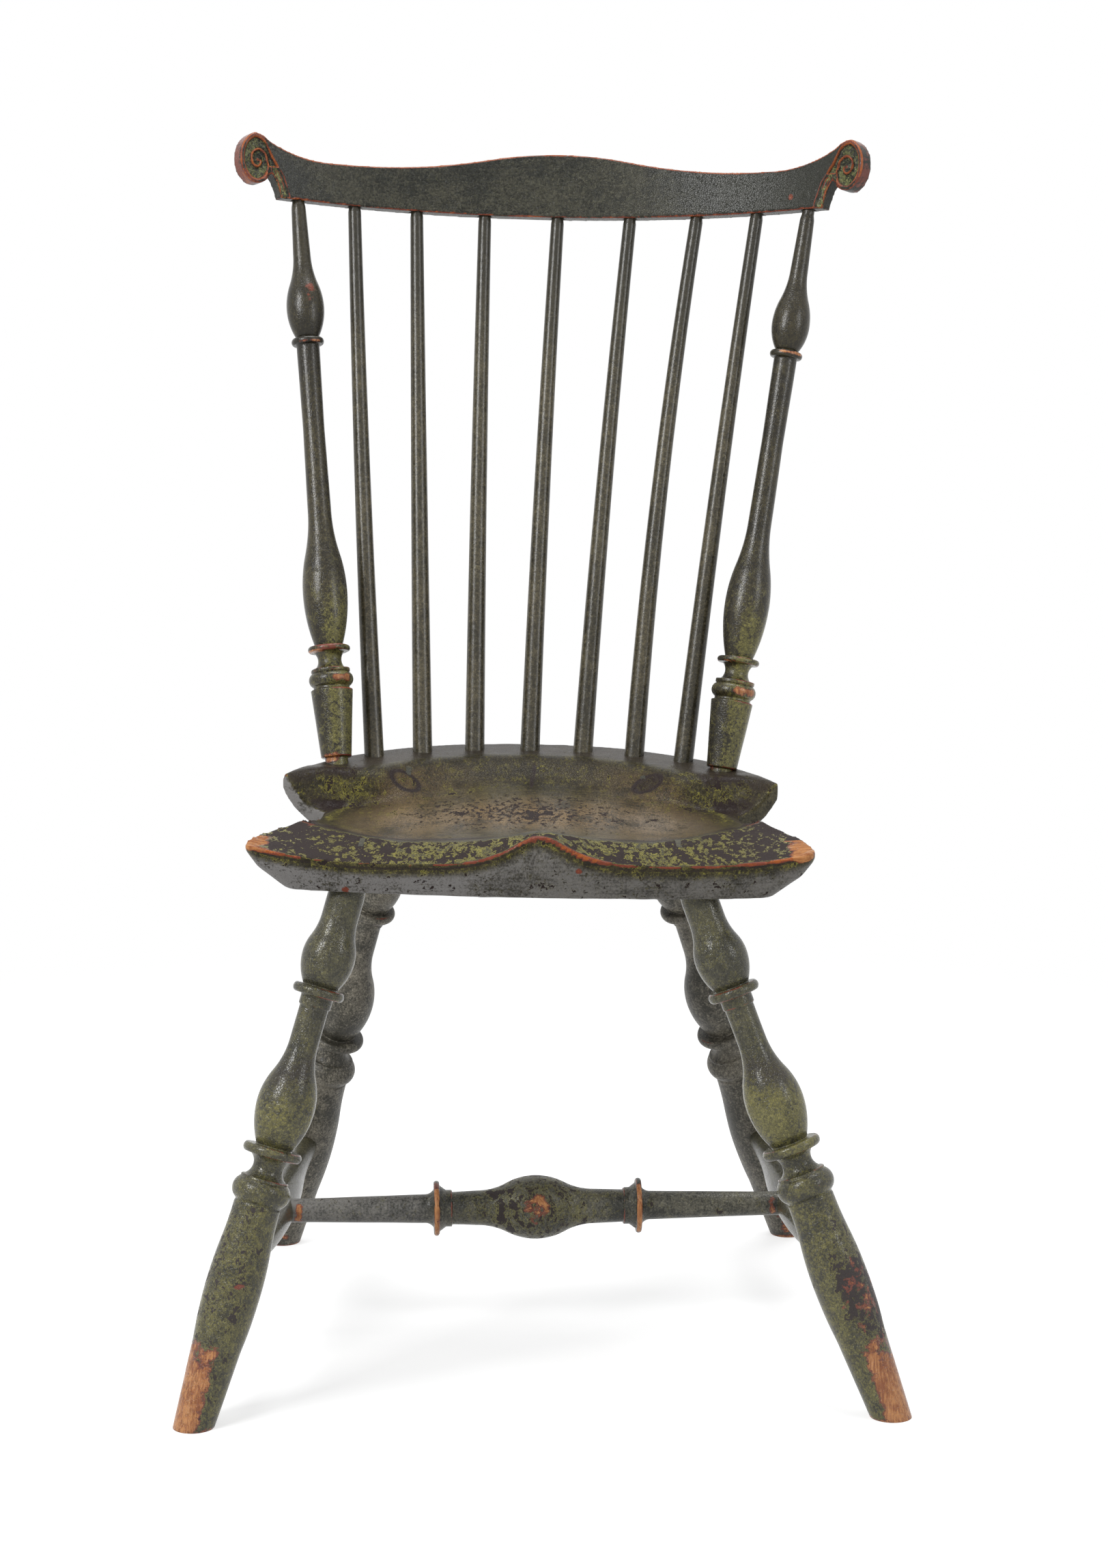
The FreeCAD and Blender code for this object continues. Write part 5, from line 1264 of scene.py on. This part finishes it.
# heights here are in millimetres above the disc
def markPost(mesh, point, along, discHeight, left):
    heights, arms, radii = roundAxis(mesh, point, along)
    heights = (heights - discHeight) / mm
    radial = arms / np.maximum(radii, 1e-9)[:, None]
    front = fadeTo(-radial[:, 1], -0.2, 0.7)
    low = 1 - fadeTo(heights, 10, 80)
    rightward = facing(radial, 0.75, -0.66, 0.1, 0.9)
    beadWear = bump(heights, -25.6, 4.2) * facing(radial, 0.55, -0.83, 0.66, 0.92)
    rimWear = bump(heights, -1.9, 1.2) * facing(radial, -0.8, -0.6, 0.5, 0.95) * (0.75 if left else 0.5)
    ringWear = bump(heights, 256.4, 1.7) * facing(radial, 0.3, -0.95, 0.3, 0.8) * 0.6
    neck = 1 - fadeTo(np.abs(heights + 90), 2, 6)
    vase = fadeTo(heights, 20, 60) * (1 - fadeTo(heights, 90, 130))
    edge = fadeTo(findArrises(mesh, 2), 60, 300) * (0.34 + 0.3 * low * rightward)
    if left:
        edge = np.maximum(edge, bump(heights, 298, 18) * facing(radial, 0.42, -0.91, 0.7, 1) * 0.53)
    setMark(mesh, "edge", edge)
    setMark(mesh, "bare", np.maximum.reduce([neck * 0.42, beadWear * 0.66, rimWear, ringWear]))
    setMark(mesh, "flake", low * 0.15 + vase * 0.35 * front)
    setMark(mesh, "tint", low * (0.35 + 0.75 * rightward))


for node in postNames:
    hangPiece(makePost(node), node, backPaint)
print("posts turned")

medialTurning = {
    "tenon": (9.6, 26), "inner": 11.6, "cove": 7.0, "coveRise": 0.45,
    "disc": (22.3, 4.6, 1.2), "flare": (16.4, 5.2), "collar": (14.9, 5.0), "shaft": 13.1,
    "bulbFoot": (14.0, 47.0), "bulb": 25.7, "leftReach": 80.2, "rightReach": 83.4,
}


def medialHalf(size, centre, reach):
    discOut = centre - reach - size["disc"][1] / 2
    discIn = discOut + size["disc"][1]
    edge = size["disc"][0] - size["disc"][2]
    coveRise = (edge - size["inner"]) * size["coveRise"]
    flareEnd = discIn + size["flare"][1]
    collarEnd = flareEnd + size["collar"][1]
    steps = [(0.01, 0), (size["tenon"][0], 0), size["tenon"], (size["inner"], discOut - size["cove"]),
             (size["inner"] + coveRise, discOut, (size["cove"] ** 2 + coveRise ** 2) / (2 * coveRise), -1),
             (edge, discOut), (edge, discIn, arcRadius(size["disc"][1] / 2, size["disc"][2]), 1),
             (size["flare"][0] + (edge - size["flare"][0]) / 2, discIn),
             (size["collar"][0], flareEnd), (size["collar"][0], collarEnd), (size["shaft"], collarEnd),
             (size["bulbFoot"][0], centre - size["bulbFoot"][1])]
    return steps + sway((size["bulbFoot"][0], centre - size["bulbFoot"][1]), (size["bulb"], centre), 0.5)


def makeMedial():
    node = "medial_stretcher"
    size = medialTurning
    point, along, low, high = findAxis(node)
    if along[0] < 0:
        along, low, high = -along, -high, -low
    length = (high - low) / mm
    left = traceProfile(medialHalf(size, length / 2, size["leftReach"]), 1)
    right = traceProfile(medialHalf(size, length / 2, size["rightReach"]), 1)
    right = right[::-1] * np.array((1, -1)) + np.array((0, length))
    line = np.vstack([left, right[1:]])
    turn = Vector(along).to_track_quat("Z", "Y").to_matrix().to_4x4()
    place = Matrix.Translation(Vector(point + along * low)) @ turn @ Matrix.Diagonal((mm, mm, mm, 1))
    medial = spinProfile("medial_stretcher_turned", line, place)
    roughen(medial, 0.12 * mm, 0.5 * mm, 7)
    mesh = medial.data
    heights, arms, radii = roundAxis(mesh, point, along)
    spot = (heights - (low + high) / 2) / mm
    radii = radii / mm
    towards = -arms[:, 1] / mm / np.maximum(radii, 1e-6)
    rim = fadeTo(radii, 20.6, 21.6) * fadeTo(np.abs(spot), 60, 70)
    patch = np.hypot(spot / 12, (arms[:, 2] / mm - 4) / 13)
    bulbPatch = (1 - fadeTo(patch, 0.6, 1.25)) * fadeTo(towards, 0.2, 0.6)
    joint = bump(np.abs(spot), length / 2 - 16, 4) * fadeTo(towards, 0.3, 0.9) * 0.55
    setMark(mesh, "edge", fadeTo(findArrises(mesh, 1), 60, 330) * 0.6)
    setMark(mesh, "bare", np.maximum.reduce([rim * fadeTo(towards, 0.1, 0.6) * 0.8, bulbPatch * 0.5, joint]))
    setMark(mesh, "flake", 0.18 + 0.3 * (1 - fadeTo(np.abs(spot), 30, 60)))
    setMark(mesh, "tint", 0.4 * (1 - fadeTo(np.abs(spot), 30, 90)))
    # painted bluish sheen on the left end, partly dust
    setMark(mesh, "dust_and_sheen", 0.7 * fadeTo(-spot, 80, 100))
    return medial


hangPiece(makeMedial(), "medial_stretcher", medialPaint)
print("medial stretcher turned")
